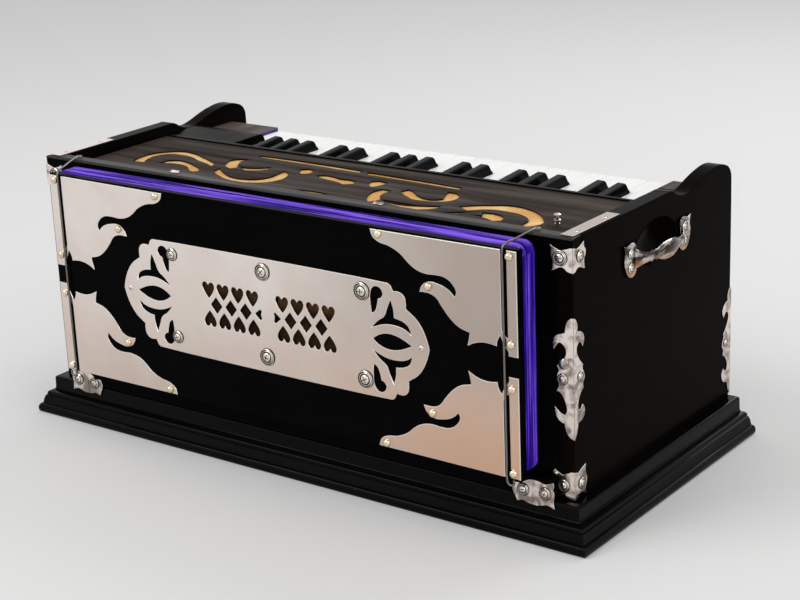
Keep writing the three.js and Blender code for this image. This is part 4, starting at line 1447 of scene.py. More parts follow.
@dataclass
class Bellows:
    """Bellows board, its grille cloth, the pleated cloth and the two latch wires.

    wire_bends gives how far each bend of a wire lies outwards and back from its shaft, and its
    height. eye_centre is outwards from the shaft, in depth and in height.
    """

    finishes: Finishes
    half: float = 254.5
    low: float = 56.0
    high: float = 247.0
    back: float = 20.3
    face: float = 27.3
    window_half: Point = (31.0, 22.0)
    window_spread: float = 42.0
    middle: float = 151.5
    cloth_inset: float = 1.2
    cloth_below: float = 0.6
    cloth_above: float = 1.4
    cloth_corner: float = 9.0
    cloth_gap: float = 0.35
    grille_gap: float = 0.5
    pleats: int = 5
    pleat_rise: float = 2.6
    steps: int = 8
    wire_radius: float = 0.95
    wire_x: float = 241.5
    wire_y: float = -29.8
    wire_bends: tuple[Spot, ...] = (
        (6.2, 0, 56.5), (6.6, 0, 53.6), (3.6, 0, 51.6), (0.7, 0, 53.4), (0, 0, 58), (0, 0, 70),
        (0, 0, 150), (0, 0, 236), (0, 0, 244.5), (0.3, 1.2, 248.9), (1.2, 4.4, 250.9),
        (3.2, 12, 251.9), (6.2, 24, 254.0), (7.6, 31, 255.0), (8.0, 34.4, 255.1))
    eye_centre: Spot = (8.6, 7.0, 255.1)
    eye_half: Point = (2.2, 2.4)
    eye_radius: float = 0.85

    def build(self) -> list[Piece]:
        """Makes the board, the cloths and the wires.

        Returns:
            All pieces.
        """
        windows = [rectangle(*self.window(side)) for side in (-1, 1)]
        board = flat_piece("bellows_panel", rectangle(-self.half, self.half, self.low, self.high),
                           Facing.FRONT, self.back, self.face, windows, edge=0.9, rounds=2)
        smooth(board, 40)
        dress(board, self.finishes.lacquer, "black_lacquer", "bellows")
        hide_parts("bellows_board")
        pieces = [board, *self.grille_cloths(), self.cloth()]
        for side, name in ((-1, "left"), (1, "right")):
            wire = self.wire(side, f"{name}_wire")
            dress(wire, self.finishes.steel, "chrome", f"latch_{name}")
            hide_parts(f"{name}_latch")
            pieces.append(wire)
        return pieces

    def window(self, side: int, inset: float = 0.0) -> Sides:
        """Gives the sides of one intake window, less an inset, in millimetres."""
        u, half_u, half_v = side * self.window_spread, *(h - inset for h in self.window_half)
        return u - half_u, u + half_u, self.middle - half_v, self.middle + half_v

    def grille_cloths(self) -> list[Piece]:
        """Stretches brown cloth in each window, just behind the grille.

        Returns:
            The two cloths.
        """
        cloths = []
        for side, name in ((-1, "treble"), (1, "bass")):
            u0, u1, v0, v1 = self.window(side, 0.1)
            cloth, width, length = flat_cloth(f"{name}_grille_cloth", (u0, v0), (u1, v1),
                                              Facing.FRONT, self.face - self.grille_gap)
            dress(cloth, self.finishes.mesh, "dark_cloth", "bellows")
            cloths.append(cloth)
        return cloths

    def cloth(self) -> Piece:
        """Folds the violet cloth round the board's back.

        Returns:
            The cloth.
        """
        walk = rounded_loop(self.half - self.cloth_inset, self.low + self.cloth_below,
                            self.high + self.cloth_above, self.cloth_corner, 6.0)
        rows = pleats(self.pleats, self.steps, self.pleat_rise, self.cloth_gap,
                      self.back - self.cloth_gap)
        cloth, width, length = pleated_band("bellows_folds", walk, rows, Facing.FRONT, 0.55, 0.4)
        cloth.data.materials.append(self.finishes.violet)
        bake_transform(cloth)
        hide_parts("bellows_cloth")
        return cloth

    def wire(self, side: int, name: str) -> Piece:
        """Bends one latch wire: a hooked foot, the shaft, the arm and the eye at its tip.

        Args:
            side: -1 for the treble end, 1 for the bass end.
            name: The wire's name.

        Returns:
            The wire.
        """
        x = side * self.wire_x
        shaft = tube(name, [(x + side * out, self.wire_y + back, z)
                            for out, back, z in self.wire_bends], self.wire_radius)
        out, y, z = self.eye_centre
        turns = [k * math.pi / 4 for k in range(8)]
        eye = [(x + side * out + self.eye_half[0] * math.cos(turn),
                y + self.eye_half[1] * math.sin(turn), z) for turn in turns]
        wire = join(name, [shaft, tube("eye", eye, self.eye_radius, closed=True)])
        smooth(wire, 50, weighted=False)
        return wire


# Top


@dataclass
class TopPanel:
    """Fret-cut lid with golden cloth behind it, its knob and its hinges.

    opening is the window of the frame. lip is the black strip's depth and rise, hinge_leaf a
    leaf's sides in depth and height, hinge_screw a screw's place from the hinge's middle, and
    barrel a hinge pin's depth and radius.
    """

    finishes: Finishes
    half: float = 264.0
    front: float = 13.3
    rear: float = 143.3
    low: float = 239.0
    top: float = 245.0
    fret: float = 1.35
    opening: Sides = (-244.0, 244.0, 28.0, 131.0)
    glued: float = 6.0
    lip: Point = (4.5, 1.3)
    knob_place: Point = (239.0, 55.0)
    knob: Ring = (
        (2.3, 0), (2.3, 0.7), (1.6, 1.2), (1.4, 2.5), (2.4, 2.9), (3, 3.5), (2.4, 4.1), (1.5, 4.6),
        (1.5, 5.5), (2.5, 6.3), (3.2, 7.1), (3.2, 7.8), (2.5, 8.6), (0.8, 9))
    hinge_places: tuple[tuple[str, float], ...] = (("treble", -133.0), ("bass", 94.0))
    hinge_half: float = 5.0
    hinge_leaf: Sides = (8.2, 11.8, 253.52, 253.9)
    hinge_screw: Spot = (2.8, 9.6, 253.8)
    barrel: Point = (11.9, 0.95)
    scrolls: tuple[Ring, ...] = (
        ((-223, 49), (-227, 65), (-226, 80), (-218, 92), (-208, 99), (-194, 99), (-175, 92),
         (-158, 84), (-146, 77), (-142, 69), (-155, 75), (-167, 79), (-184, 87), (-197, 88),
         (-209, 86), (-217, 74), (-216, 63), (-210, 50)),
        ((-194, 54), (-194, 66), (-185, 71), (-175, 70), (-160, 64), (-147, 57), (-140, 49),
         (-144, 45), (-151, 48), (-160, 56), (-171, 60), (-184, 59)),
        ((-132, 76), (-137, 84), (-141, 94), (-136, 101), (-125, 104), (-129, 96), (-125, 87),
         (-117, 76), (-120, 70)),
        ((-116, 78), (-103, 81), (-88, 91), (-86, 83), (-92, 76), (-103, 71)),
        ((-130, 66), (-113, 54), (-98, 47), (-83, 47), (-73, 52), (-67, 63), (-68, 78), (-69, 86),
         (-61, 81), (-54, 70), (-53, 57), (-59, 46), (-75, 38), (-97, 39), (-111, 45), (-126, 55)),
        ((-55, 90), (-59, 98), (-53, 103), (-44, 98), (-43, 89), (-49, 85)),
        ((-126, 121), (-124, 115.4), (-60, 114.6), (-4, 112.4), (-6, 119.6), (-60, 121.6),
         (-100, 121.8)),
        ((2.5, 117.6), (6, 110.8), (60, 108.6), (108, 106), (109, 112.4), (60, 115.4)),
        ((-32, 86), (-27, 90.5), (-18, 91), (-6, 87.5), (4, 88.5), (13, 85.5), (14.5, 79), (8, 73),
         (0, 77), (-14, 80), (-24, 82)),
        ((-20, 41), (-6, 42.4), (9, 42), (19, 39.4), (9, 37.8), (-8, 38.4)),
        ((28, 84), (24, 93), (29, 98), (41, 95.5), (39.5, 86), (36, 78)),
        ((57, 43), (49, 56), (46.5, 68), (49, 77), (60, 75), (58, 67), (60, 58), (66.5, 50),
         (65.5, 42), (62, 38)),
        ((67, 49.5), (79, 45), (92, 44), (105, 47), (126, 56), (125, 47), (117, 39.5), (106, 36.5),
         (92, 38.5), (76, 43.5)),
        ((67, 78), (70, 86), (77, 82.5), (88, 73.5), (99, 68.5), (109, 69.5), (114, 75), (108, 87),
         (105, 95), (113, 95), (121, 88), (124, 79), (121, 70), (113, 64.5), (102, 62), (92, 62),
         (82, 67), (74, 72)),
        ((138, 38), (146, 46), (165, 57), (171, 47.5), (158, 44.5)),
        ((139, 62), (147, 69.5), (158, 76.5), (178, 84.5), (193, 82.5), (209, 74.5), (222, 61),
         (227.5, 51), (226, 44), (222, 38), (216, 37), (214.5, 43), (213, 53), (202, 63),
         (183, 67.5), (166, 65), (152, 54.5)),
        ((151, 43), (158, 50), (167, 55.5), (180, 56.5), (191, 50), (193.5, 42), (188, 38),
         (178, 42.5), (163, 44.5)))

    def build(self, fasteners: Fasteners) -> list[Piece]:
        """Cuts the lid and fits its cloth, knob and hinges.

        Args:
            fasteners: The screws.

        Returns:
            All pieces.
        """
        outline = rectangle(-self.half, self.half, self.front, self.rear)
        lid = flat_piece("scroll_lid", outline, Facing.TOP, self.top - self.fret, self.top,
                         self.scrolls, edge=0.42)
        smooth(lid, 28, weighted=False)
        self.darken_cuts(lid)
        frame = flat_piece("lid_frame", outline, Facing.TOP, self.low, self.top - self.fret - 0.3,
                           [rectangle(*self.opening)], edge=0.5)
        smooth(frame, 28, weighted=False)
        dress(frame, self.finishes.grey_wood, "grey_wood", "lid")
        hang(lid, "grey_wood", "lid")
        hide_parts("fret_lid")
        u0, u1, v0, v1 = self.opening
        cloth, width, length = flat_cloth(
            "gold_backing", (u0 - self.glued, v0 - self.glued), (u1 + self.glued, v1 + self.glued),
            Facing.TOP, self.top - self.fret + 0.02, 0.25)
        dress(cloth, self.finishes.gold, "violet_cloth", "lid")
        lip = block("lid_lip", (-self.half, self.rear - self.lip[0], self.top + 0.02),
                    (self.half, self.rear, self.top + self.lip[1]), 0.4)
        smooth(lip, 40)
        dress(lip, self.finishes.lacquer, "black_lacquer", "lid")
        knob = turned("lid_knob", self.knob, Facing.TOP.place((*self.knob_place, self.top)), 28)
        hang(polish(knob, 40, self.finishes.trim), "nickel", "lid")
        hinges = [self.hinge(x, f"lid_hinge_{name}", fasteners) for name, x in self.hinge_places]
        return [lid, frame, cloth, lip, knob, *hinges]

    def darken_cuts(self, lid: Piece) -> None:
        """Gives the lid its wood, and the walls of its cuts a near-black finish: their burnt edge,
        and painted shade inside the cuts.
        """
        paint(lid, self.finishes.grey_wood)
        lid.data.materials.append(self.finishes.burnt_wall_and_shade)
        low = spot(-self.half + 1, self.front + 1, 0)
        high = spot(self.half - 1, self.rear - 1, 0)
        for face in lid.data.polygons:
            inside = all(low[k] < face.center[k] < high[k] for k in (0, 1))
            face.material_index = 1 if inside and abs(face.normal.z) < 0.9 else 0

    def hinge(self, x: float, name: str, fasteners: Fasteners) -> Piece:
        """Makes one small hinge on the rail's rear edge.

        Args:
            x: Its middle, in millimetres.
            name: Its name.
            fasteners: The screws.

        Returns:
            The hinge with its screws.
        """
        y0, y1, low, high = self.hinge_leaf
        leaf = flat_piece("leaf", rectangle(x - self.hinge_half, x + self.hinge_half, y0, y1),
                          Facing.TOP, low, high, edge=0.12)
        y, radius = self.barrel
        barrel = tube("barrel", [(x + k * self.hinge_half, y, high) for k in (-1, 0, 1)], radius)
        parts = [polish(part, 35, self.finishes.trim) for part in (leaf, barrel)]
        out, y, z = self.hinge_screw
        parts += [fasteners.put(fasteners.screw, (x + k, y, z), Facing.TOP, 0.4, 30)
                  for k in (-out, out)]
        return hang(join(name, parts), "nickel", "cabinet")


# Keyboard


@dataclass(frozen=True)
class EndBlock:
    """One end block of the keyboard: its black cap, brown tail and felt line."""

    name: str
    low: float
    high: float
    felt_low: float
    felt_top: float
    tail_front: float
    tail_top: float
    cap: Ring


@dataclass
class Keyboard:
    """Three octaves and a top C, the end blocks, the rails and the felt lines.

    black_fall is how far a black key's top falls towards the lid, and overhang_reach how far the
    treble cap reaches over the last key. felt_sides is a felt line's width, its two ends and its
    foot. The rails are given by their sides in depth and height.
    """

    finishes: Finishes
    bass_end: float = 239.0
    pitch: float = 20.2
    gap: float = 0.8
    white_count: int = 22
    front: float = 240.0
    shoulder: float = 147.0
    tail: float = 30.0
    top: float = 235.0
    bottom: float = 223.0
    tail_top: float = 231.0
    notch: float = 197.3
    slot_side: float = 6.3
    black_half: float = 5.5
    black_foot: float = 196.5
    black_end: float = 191.5
    black_top: float = 244.3
    black_fall: float = 3.3
    cover: float = 3.2
    pad: Point = (36.0, 64.0)
    floor: float = 212.3
    block_rear: float = 242.7
    felt_sides: Sides = (1.2, 150.0, 239.5, 222.0)
    pivot_rail: Sides = (106.0, 114.0, 212.3, 222.7)
    stop_rail: Sides = (222.0, 232.0, 212.3, 214.3)
    stop_felt: float = 0.6
    rail_ends: Point = (-207.3, 240.9)
    overhang_reach: float = -185.2
    overhang: Ring = (
        (147.4, 236.3), (196, 236.3), (195.4, 238.9), (192.2, 243.6), (190.4, 244.2),
        (147.4, 244.2))
    ends: tuple[EndBlock, ...] = (
        EndBlock("treble", -270.7, -207.6, -207.3, 237.5, 196.1, 237.6,
                 ((96, 212.3), (195.8, 212.3), (195.8, 238.9), (192.4, 243.6), (190.6, 244.3),
                  (147.3, 244.3), (147.3, 236.3), (96, 236.3))),
        EndBlock("bass", 241.2, 270.7, 239.3, 235.4, 216.1, 236.8,
                 ((96, 212.3), (215.8, 212.3), (215.8, 236.6), (96, 236.6))))
    notes: tuple[str, ...] = ("c", "d", "e", "f", "g", "a", "b")
    sharps: tuple[bool, ...] = (True, True, False, True, True, True, False)

    def has_sharp(self, index: int) -> bool:
        """Tells whether a black key follows a white one towards the treble."""
        return 0 <= index < self.white_count - 1 and self.sharps[index % 7]

    def build(self) -> list[Piece]:
        """Makes every key, the blocks, the rails and the felt.

        Returns:
            All pieces.
        """
        masters: dict[tuple[bool, bool], tuple[Piece, int]] = {}
        black = self.black_key()
        pieces = []
        for index in range(self.white_count):
            shape = (self.has_sharp(index), self.has_sharp(index - 1))
            if shape not in masters:
                masters[shape] = (self.white_key(index), index)
            master, home = masters[shape]
            name = f"{self.notes[index % 7]}{3 + index // 7}"
            step = -self.pitch * (index - home)
            pieces.append(self.fit(twin(master, f"white_{name}", shift(x=step)), "ivory_white",
                                   name))
            if self.has_sharp(index):
                name = f"{self.notes[index % 7]}_sharp{3 + index // 7}"
                move = shift(x=self.bass_end - (index + 1) * self.pitch)
                pieces.append(self.fit(twin(black, f"black_{name}", move), "key_black", name))
        for master, _ in masters.values():
            bpy.data.objects.remove(master)
        bpy.data.objects.remove(black)
        return [*pieces, *self.blocks()]

    def fit(self, key: Piece, slot: str, note: str) -> Piece:
        """Hangs a key on its lever's body in place of its CAD node.

        Args:
            key: The key.
            slot: A material slot's name; not used.
            note: The note's name.

        Returns:
            The same key.
        """
        hang(key, slot, f"lever_{note}")
        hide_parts(f"key_{note}")
        return key

    def lever(self, low: float, high: float) -> list[Piece]:
        """Makes the wooden tail and the felt pad under it.

        Args:
            low: The tail's treble side.
            high: Its bass side.

        Returns:
            The two parts.
        """
        tail = block("tail", (low, self.tail, self.bottom),
                     (high, self.shoulder + 0.4, self.tail_top), 0.5, 1)
        pad = block("pad", (low + 0.4, self.pad[0], self.floor),
                    (high - 0.4, self.pad[1], self.bottom + 0.2), 1.0)
        return [paint(tail, self.finishes.pale_wood), paint(pad, self.finishes.pad)]

    def white_key(self, index: int) -> Piece:
        """Models one shape of white key at its own place.

        Args:
            index: Its count from the bass end.

        Returns:
            The key.
        """
        bass = self.bass_end - index * self.pitch
        low, high = bass - self.pitch + self.gap / 2, bass - self.gap / 2
        tail_low = bass - self.pitch + self.slot_side if self.has_sharp(index) else low
        tail_high = bass - self.slot_side if self.has_sharp(index - 1) else high
        ring = [(low, self.front - 2.4), (low, self.notch), (tail_low, self.notch),
                (tail_low, self.shoulder), (tail_high, self.shoulder), (tail_high, self.notch),
                (high, self.notch), (high, self.front - 2.4), (high - 0.7, self.front - 0.7),
                (high - 2.4, self.front), (low + 2.4, self.front), (low + 0.7, self.front - 0.7)]
        ring = [p for k, p in enumerate(ring) if math.dist(p, ring[k - 1]) > 0.01]
        cover = flat_piece("cover", ring, Facing.TOP, self.top - self.cover, self.top, edge=0.8,
                           corner=20, steps=1, rounds=2)
        body_ring = [(x + (0.6 if x < (low + high) / 2 else -0.6),
                      y - 0.6 if y > self.notch + 1 else y + 0.3) for x, y in ring]
        wood = flat_piece("wood", body_ring, Facing.TOP, self.bottom, self.top - 3.0, edge=0.2,
                          corner=30, steps=1)
        parts = [paint(cover, self.finishes.ivory), paint(wood, self.finishes.pale_wood),
                 *self.lever(tail_low, tail_high)]
        key = join("white_master", parts)
        smooth(key, 35)
        return key

    def black_key(self) -> Piece:
        """Models the black key about x = 0.

        Returns:
            The key.
        """
        half = self.black_half
        foot, end = self.black_foot, self.black_end
        head = drawn_up("head", (
            (-half, half, self.shoulder, foot, self.bottom),
            (-half, half, self.shoulder, foot, self.top + 0.6),
            (-half + 0.2, half - 0.2, self.shoulder + 0.2, foot - 0.2, self.top + 1.6),
            (-4.3, 4.3, self.shoulder + 1.2, end + 1.6, self.black_top - 1.2),
            (-3.1, 3.1, self.shoulder + 2.2, end - 0.2, self.black_top)))
        low, high = spot(0, self.shoulder, 0).y, spot(0, end, 0).y
        for corner in head.data.vertices:
            if corner.co.z * 1000 > self.top + 1:
                share = (high - corner.co.y) / (high - low)
                corner.co.z -= self.black_fall / 1000 * max(0.0, min(1.0, share))
        soften(head, 0.5, 3, 20)
        key = join("black_master", [paint(head, self.finishes.key_black),
                                    *self.lever(-half, half)])
        smooth(key, 35)
        return key

    def blocks(self) -> list[Piece]:
        """Makes the end blocks, the two rails and the felt lines.

        Returns:
            All pieces.
        """
        pieces = []
        for end in self.ends:
            cap = flat_piece(f"{end.name}_block_cap", end.cap, Facing.RIGHT, end.low, end.high,
                             edge=0.8, rounds=2)
            tail = flat_piece(f"{end.name}_block_tail",
                              rectangle(end.tail_front, self.block_rear, self.floor,
                                        end.tail_top),
                              Facing.RIGHT, end.low, end.high, edge=0.7, rounds=2)
            width, start, stop, foot = self.felt_sides
            strip = block(f"{end.name}_felt", (end.felt_low, start, foot),
                          (end.felt_low + width, stop, end.felt_top), 0.4)
            if end.name == "treble":
                over = flat_piece("overhang", self.overhang, Facing.RIGHT, end.high - 1,
                                  self.overhang_reach, edge=0.8, rounds=2)
                cap = join(cap.name, [cap, over])
            for piece, finish, slot in (
                    (cap, self.finishes.side_lacquer, "black_lacquer"),
                    (tail, self.finishes.brown_wood, "brown_wood"),
                    (strip, self.finishes.felt, "violet_cloth")):
                smooth(piece)
                pieces.append(dress(piece, finish, slot, "cabinet"))
        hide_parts("key_frame")
        x0, x1 = self.rail_ends
        for name, (y0, y1, low, high), edge in (("pivot_rail", self.pivot_rail, 0.8),
                                                ("stop_rail", self.stop_rail, 0.5)):
            rail = block(name, (x0, y0, low), (x1, y1, high), edge)
            smooth(rail, 40)
            pieces.append(dress(rail, self.finishes.brown_wood, "brown_wood", "cabinet"))
        felt = block("stop_felt", (x0 + 0.5, y0 + 0.6, high),
                     (x1 - 0.5, y1 - 0.6, high + self.stop_felt), 0.25, 1)
        smooth(felt, 40)
        pieces.append(dress(felt, self.finishes.felt, "violet_cloth", "cabinet"))
        return pieces


# Trim


@dataclass
class Handles:
    """Cast chrome handles: two lobed end plates and a bowed grip with ringed necks.

    grip gives each station's place along the handle, its outset, thickness and half height.
    """

    finishes: Finishes
    fasteners: Fasteners
    centre: float = 131.5
    height: float = 213.0
    face: float = 286.3
    plate_thickness: float = 2.2
    cups: Ring = ((-45.2, 5.6), (-45.4, -6.2), (45.2, 5.6), (45.4, -6.2))
    plate: Ring = (
        (-55.6, 14.2), (-50.6, 13), (-44.5, 14.4), (-39.4, 13.4), (-36.4, 9.6), (-38.2, 5.4),
        (-38.4, 0), (-38.2, -5.4), (-36.4, -9.6), (-39.4, -13.2), (-44.5, -14.6), (-49.6, -12.4),
        (-53.2, -6.8), (-55.2, 0.8), (-53.9, 7.4))
    grip: tuple[Sides, ...] = (
        (-39.2, 2.1, 2.0, 8.6), (-38.2, 3.2, 2.6, 8.0), (-36.4, 4.9, 3.0, 6.6),
        (-33.6, 6.8, 3.3, 5.1), (-30.4, 8.1, 3.6, 4.3), (-27.0, 8.8, 3.7, 4.0),
        (-26.4, 9.0, 4.6, 4.9), (-24.8, 9.3, 4.6, 4.9), (-24.2, 9.4, 3.7, 3.9),
        (-20.8, 9.9, 3.6, 3.8), (-20.2, 10.0, 4.4, 4.7), (-18.8, 10.2, 4.4, 4.7),
        (-18.2, 10.3, 3.7, 4.1), (-14.0, 10.8, 4.6, 6.0), (-9.0, 11.4, 5.4, 7.4),
        (-4.0, 11.8, 5.9, 8.0), (0.0, 11.9, 6.0, 8.1))

    def build(self) -> list[Piece]:
        """Models the bass handle and mirrors it.

        Returns:
            Both handles.
        """
        outline = set_out(self.plate, self.centre, self.height)
        plate = flat_piece("handle_plate", outline, Facing.RIGHT, self.face,
                           self.face + self.plate_thickness, edge=0.7, rounds=3, steps=6)
        smooth(plate, 50, weighted=False)
        far = twin(plate, "handle_plate_far", across(1, self.centre))
        parts = [plate, far, self.grip_piece()]
        for part in parts:
            paint(part, self.finishes.chrome)
        seat = self.face + self.plate_thickness - 0.2
        for y, z in self.cups:
            at = (seat, self.centre + y, self.height + z)
            parts.append(self.fasteners.put(self.fasteners.cup, at, Facing.RIGHT, 0.92,
                                            35 + 11 * z))
        right = join("bass_handle", parts)
        left = twin(right, "treble_handle", across(0))
        for piece, node in ((right, "right_handle"), (left, "left_handle")):
            hang(piece, "chrome", "cabinet")
            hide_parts(node)
        return [right, left]

    def grip_piece(self) -> Piece:
        """Draws the grip out from one plate to the other.

        Returns:
            The grip.
        """
        stations = [*self.grip, *[(-y, *rest) for y, *rest in reversed(self.grip[:-1])]]
        clear()
        y, out, thick, half = stations[0]
        start = spot(self.face + out, self.centre + y, self.height)
        bpy.ops.mesh.primitive_circle_add(vertices=20, radius=0.001, fill_type="NGON",
                                          location=start, rotation=(math.pi / 2, 0, 0))
        bpy.context.object.scale = (thick / 2, half, 1)
        grip = settle(bpy.context.object, "grip")
        with editing(grip):
            for before, after in zip(stations, stations[1:]):
                end = spot(self.face + after[1], self.centre + after[0], self.height)
                draw_on(end - start, end, (after[2] / before[2], 1, after[3] / before[3]))
                start = end
        mend(grip)
        smooth(grip, 55, weighted=False)
        return grip


@dataclass
class CornerTrim:
    """Nickel brackets, ornamental edge pieces, foot brackets and the strips on the cheeks."""

    finishes: Finishes
    fasteners: Fasteners
    outer: float = 286.0
    sheet: float = 0.8
    seat: float = 0.05
    boss_place: Spot = (277.2, -0.8, 151.0)
    boss_profile: Ring = ((4.8, 0), (4.8, 0.3), (4.3, 0.9), (3.2, 1.5), (1.8, 1.9), (0.5, 2))
    strip_sides: Sides = (272.4, 284.0, 4.6, 75.5)
    strip_levels: Point = (253.55, 254.35)
    strip_screws: Ring = ((278.2, 18), (278.2, 62))
    ledge_levels: Point = (10.05, 10.85)
    ledge_screws: tuple[Spot, ...] = ((244.0, 41.0, 15), (264.6, 41.4, 60))
    fold_line: Ring = ((252.6, 51), (252.6, 40), (252.5, 29.9))
    rear_middle: float = 133.5
    rear_drop: float = 49.5
    wing_front: Ring = (
        (286.85, 246), (283.9, 245.7), (280.9, 244.6), (277.3, 243.6), (273.4, 243.9),
        (269.5, 245.2), (266, 247), (267.2, 243.2), (266.8, 240.6), (267.6, 236.2), (268.8, 232.2),
        (268.4, 229.3), (267.4, 225.8), (271.1, 227.6), (275.1, 229.4), (278.4, 229),
        (281.3, 226.8), (284, 226), (286.85, 225.8))
    wing_side: Ring = (
        (-0.85, 246), (1.6, 245.6), (5, 244.4), (8.3, 244.7), (12.1, 246.2), (16, 248),
        (16.4, 243.6), (18.3, 241), (18.2, 236.9), (16.3, 234.2), (16.2, 230.6), (17, 225.8),
        (14, 226.8), (10.1, 228.5), (5.8, 228.4), (3, 226.4), (-0.85, 225.8))
    low_front: Ring = (
        (286.85, 60.6), (283, 60.2), (279.6, 58.7), (275, 56.6), (271.9, 58), (268, 60.2),
        (265.9, 57), (266.4, 54.5), (271, 54.4), (271, 37.4), (274, 38.9), (277.8, 38.4),
        (281.7, 36.7), (286.85, 36.6))
    low_side: Ring = (
        (-0.85, 60.6), (2, 60), (4.9, 58.9), (8.3, 60.6), (12.4, 62), (15.8, 63), (15.6, 55.8),
        (17.6, 51.2), (16.6, 46.7), (15.3, 42.8), (16.2, 36.8), (10.7, 40), (5.6, 40.6),
        (2.4, 37.8), (-0.85, 36.6))
    fleur_front: Ring = (
        (286.85, 189.7), (284.6, 189.4), (282.4, 188.2), (280.5, 185.4), (279.2, 181.3),
        (278.6, 177), (276.1, 175.9), (272.1, 174.5), (268.9, 171.8), (267.7, 168.2),
        (268.2, 161.8), (270.9, 165.4), (273.2, 168), (275.9, 167.3), (278.6, 164.6),
        (279.6, 160.6), (278.2, 156.4), (275, 152.4), (270.8, 148.6), (272.9, 145.2),
        (271.4, 141.2), (271, 136.8), (272.6, 132.6), (270.2, 127.2), (274.2, 126), (277, 122),
        (279.1, 116.9), (279.7, 111.9), (278, 108.4), (274.6, 109.2), (271.9, 111.4), (268.6, 114),
        (269.2, 108.6), (271, 104.6), (273.6, 101.9), (277.6, 100.6), (277.9, 98.2), (279, 94.4),
        (281.4, 90.6), (284.4, 88.7), (286.85, 88.2))
    fleur_side: Ring = (
        (-0.85, 189.7), (1.6, 188.8), (4.3, 185.4), (5.5, 180.9), (5.1, 177.6), (9.3, 176.6),
        (13.6, 173.4), (15, 168.4), (12.8, 163.4), (10.4, 167), (7.4, 168.1), (4.8, 166.1),
        (3.6, 162.2), (5.1, 158), (8.4, 153), (13.2, 148.2), (12.2, 145.8), (14.4, 141),
        (15, 136.4), (12.9, 132.6), (13.4, 128.4), (9.7, 125.9), (6.5, 121.2), (5, 116.6),
        (5.8, 112.4), (9.2, 112), (12, 115.2), (15, 111.2), (15.1, 107), (12.5, 103.2),
        (8.5, 101.5), (5, 101), (4.2, 97), (2.6, 92.2), (-0.85, 88.2))
    foot_outline: Ring = (
        (234.2, 43), (235.4, 45.6), (238.6, 45.6), (242.9, 46.6), (246.1, 48.6), (250, 50.4),
        (254.6, 51.2), (259.4, 50.7), (263.5, 49.6), (268, 50.4), (272.4, 52.4), (273, 49),
        (272, 46), (273.2, 42.4), (272.6, 37), (273.4, 29.4), (270, 30.8), (266.3, 31.6),
        (261.4, 30.4), (256.4, 29.2), (252.5, 29.6), (248.4, 29.8), (243.6, 31.2), (238, 29.6),
        (236.2, 33.6), (234, 37.8))

    def folded(self, name: str, front: Ring, side: Ring) -> Piece:
        """Cuts a bracket that folds round the bass front corner.

        Args:
            name: Its name.
            front: Its outline on the front, x and z.
            side: Its outline on the cheek, y and z.

        Returns:
            The bracket.
        """
        parts = []
        for ring, facing, wall in ((front, Facing.FRONT, 0.0), (side, Facing.RIGHT, self.outer)):
            leaf = flat_piece("leaf", ring, facing, wall + self.seat,
                              wall + self.seat + self.sheet, edge=0.36, steps=4)
            parts.append(plated(leaf, self.finishes.trim, self.finishes.rim_highlight))
        return join(name, parts)

    def front_screw(self, x: float, z: float, size: float, turn: float) -> Piece:
        """Puts a cup screw on the front."""
        at = (x, -self.seat - self.sheet, z)
        return self.fasteners.put(self.fasteners.cup, at, Facing.FRONT, size, turn)

    def side_screw(self, y: float, z: float, size: float, turn: float) -> Piece:
        """Puts a cup screw on the cheek."""
        at = (self.outer + self.seat + self.sheet, y, z)
        return self.fasteners.put(self.fasteners.cup, at, Facing.RIGHT, size, turn)

    def build(self) -> list[Piece]:
        """Makes the trim of the bass side and mirrors what the treble side has too.

        Returns:
            All pieces.
        """
        put, tack = self.fasteners.put, self.fasteners.tack
        wing = join("corner_wing", [
            self.folded("wing", self.wing_front, self.wing_side),
            self.front_screw(275.2, 237.2, 1.3, 12), self.side_screw(9.8, 237.6, 0.98, 50)])
        foot = join("corner_foot", [
            self.folded("foot", self.low_front, self.low_side),
            self.front_screw(276.6, 47.6, 1.05, 30), self.side_screw(9.4, 48.6, 0.98, 5),
            put(tack, (269.4, -0.85, 57.2), Facing.FRONT, 0.7)])
        fleur = join("edge_fleur", [
            self.folded("fleur", self.fleur_front, self.fleur_side),
            self.front_screw(276.4, 137.9, 0.98, 70), self.boss(),
            self.side_screw(8.8, 139.4, 0.8, 20)])
        rear = twin(fleur, "rear_fleur", shift(z=-self.rear_drop) @ across(1, self.rear_middle))
        strip = self.strip()
        ledge_bracket = self.foot_bracket()
        pieces = []
        for piece in (wing, rear, strip):
            pieces += [piece, twin(piece, f"{piece.name}_treble", across(0))]
        pieces += [foot, fleur, ledge_bracket]
        pieces.append(twin(ledge_bracket, "ledge_bracket_treble",
                           shift(x=4.5, z=-2.4) @ across(0)))
        return [hang(piece, "nickel", "cabinet") for piece in pieces]

    def boss(self) -> Piece:
        """Presses the round boss over the front screw of an edge ornament."""
        boss = turned("boss", self.boss_profile, Facing.FRONT.place(self.boss_place))
        return polish(boss, 40, self.finishes.trim)

    def strip(self) -> Piece:
        """Makes the strip on the cheek's top, with two sunk screws.

        Returns:
            The strip.
        """
        holes = [circle(x, y, 2.4) for x, y in self.strip_screws]
        strip = flat_piece("cheek_strip", rectangle(*self.strip_sides), Facing.TOP,
                           *self.strip_levels, holes)
        polish(strip, 22, self.finishes.nickel)
        screws = [self.fasteners.put(self.fasteners.screw, (x, y, 253.3), Facing.TOP, 0.9, 33 + y)
                  for x, y in self.strip_screws]
        return join("cheek_strip", [strip, *screws])

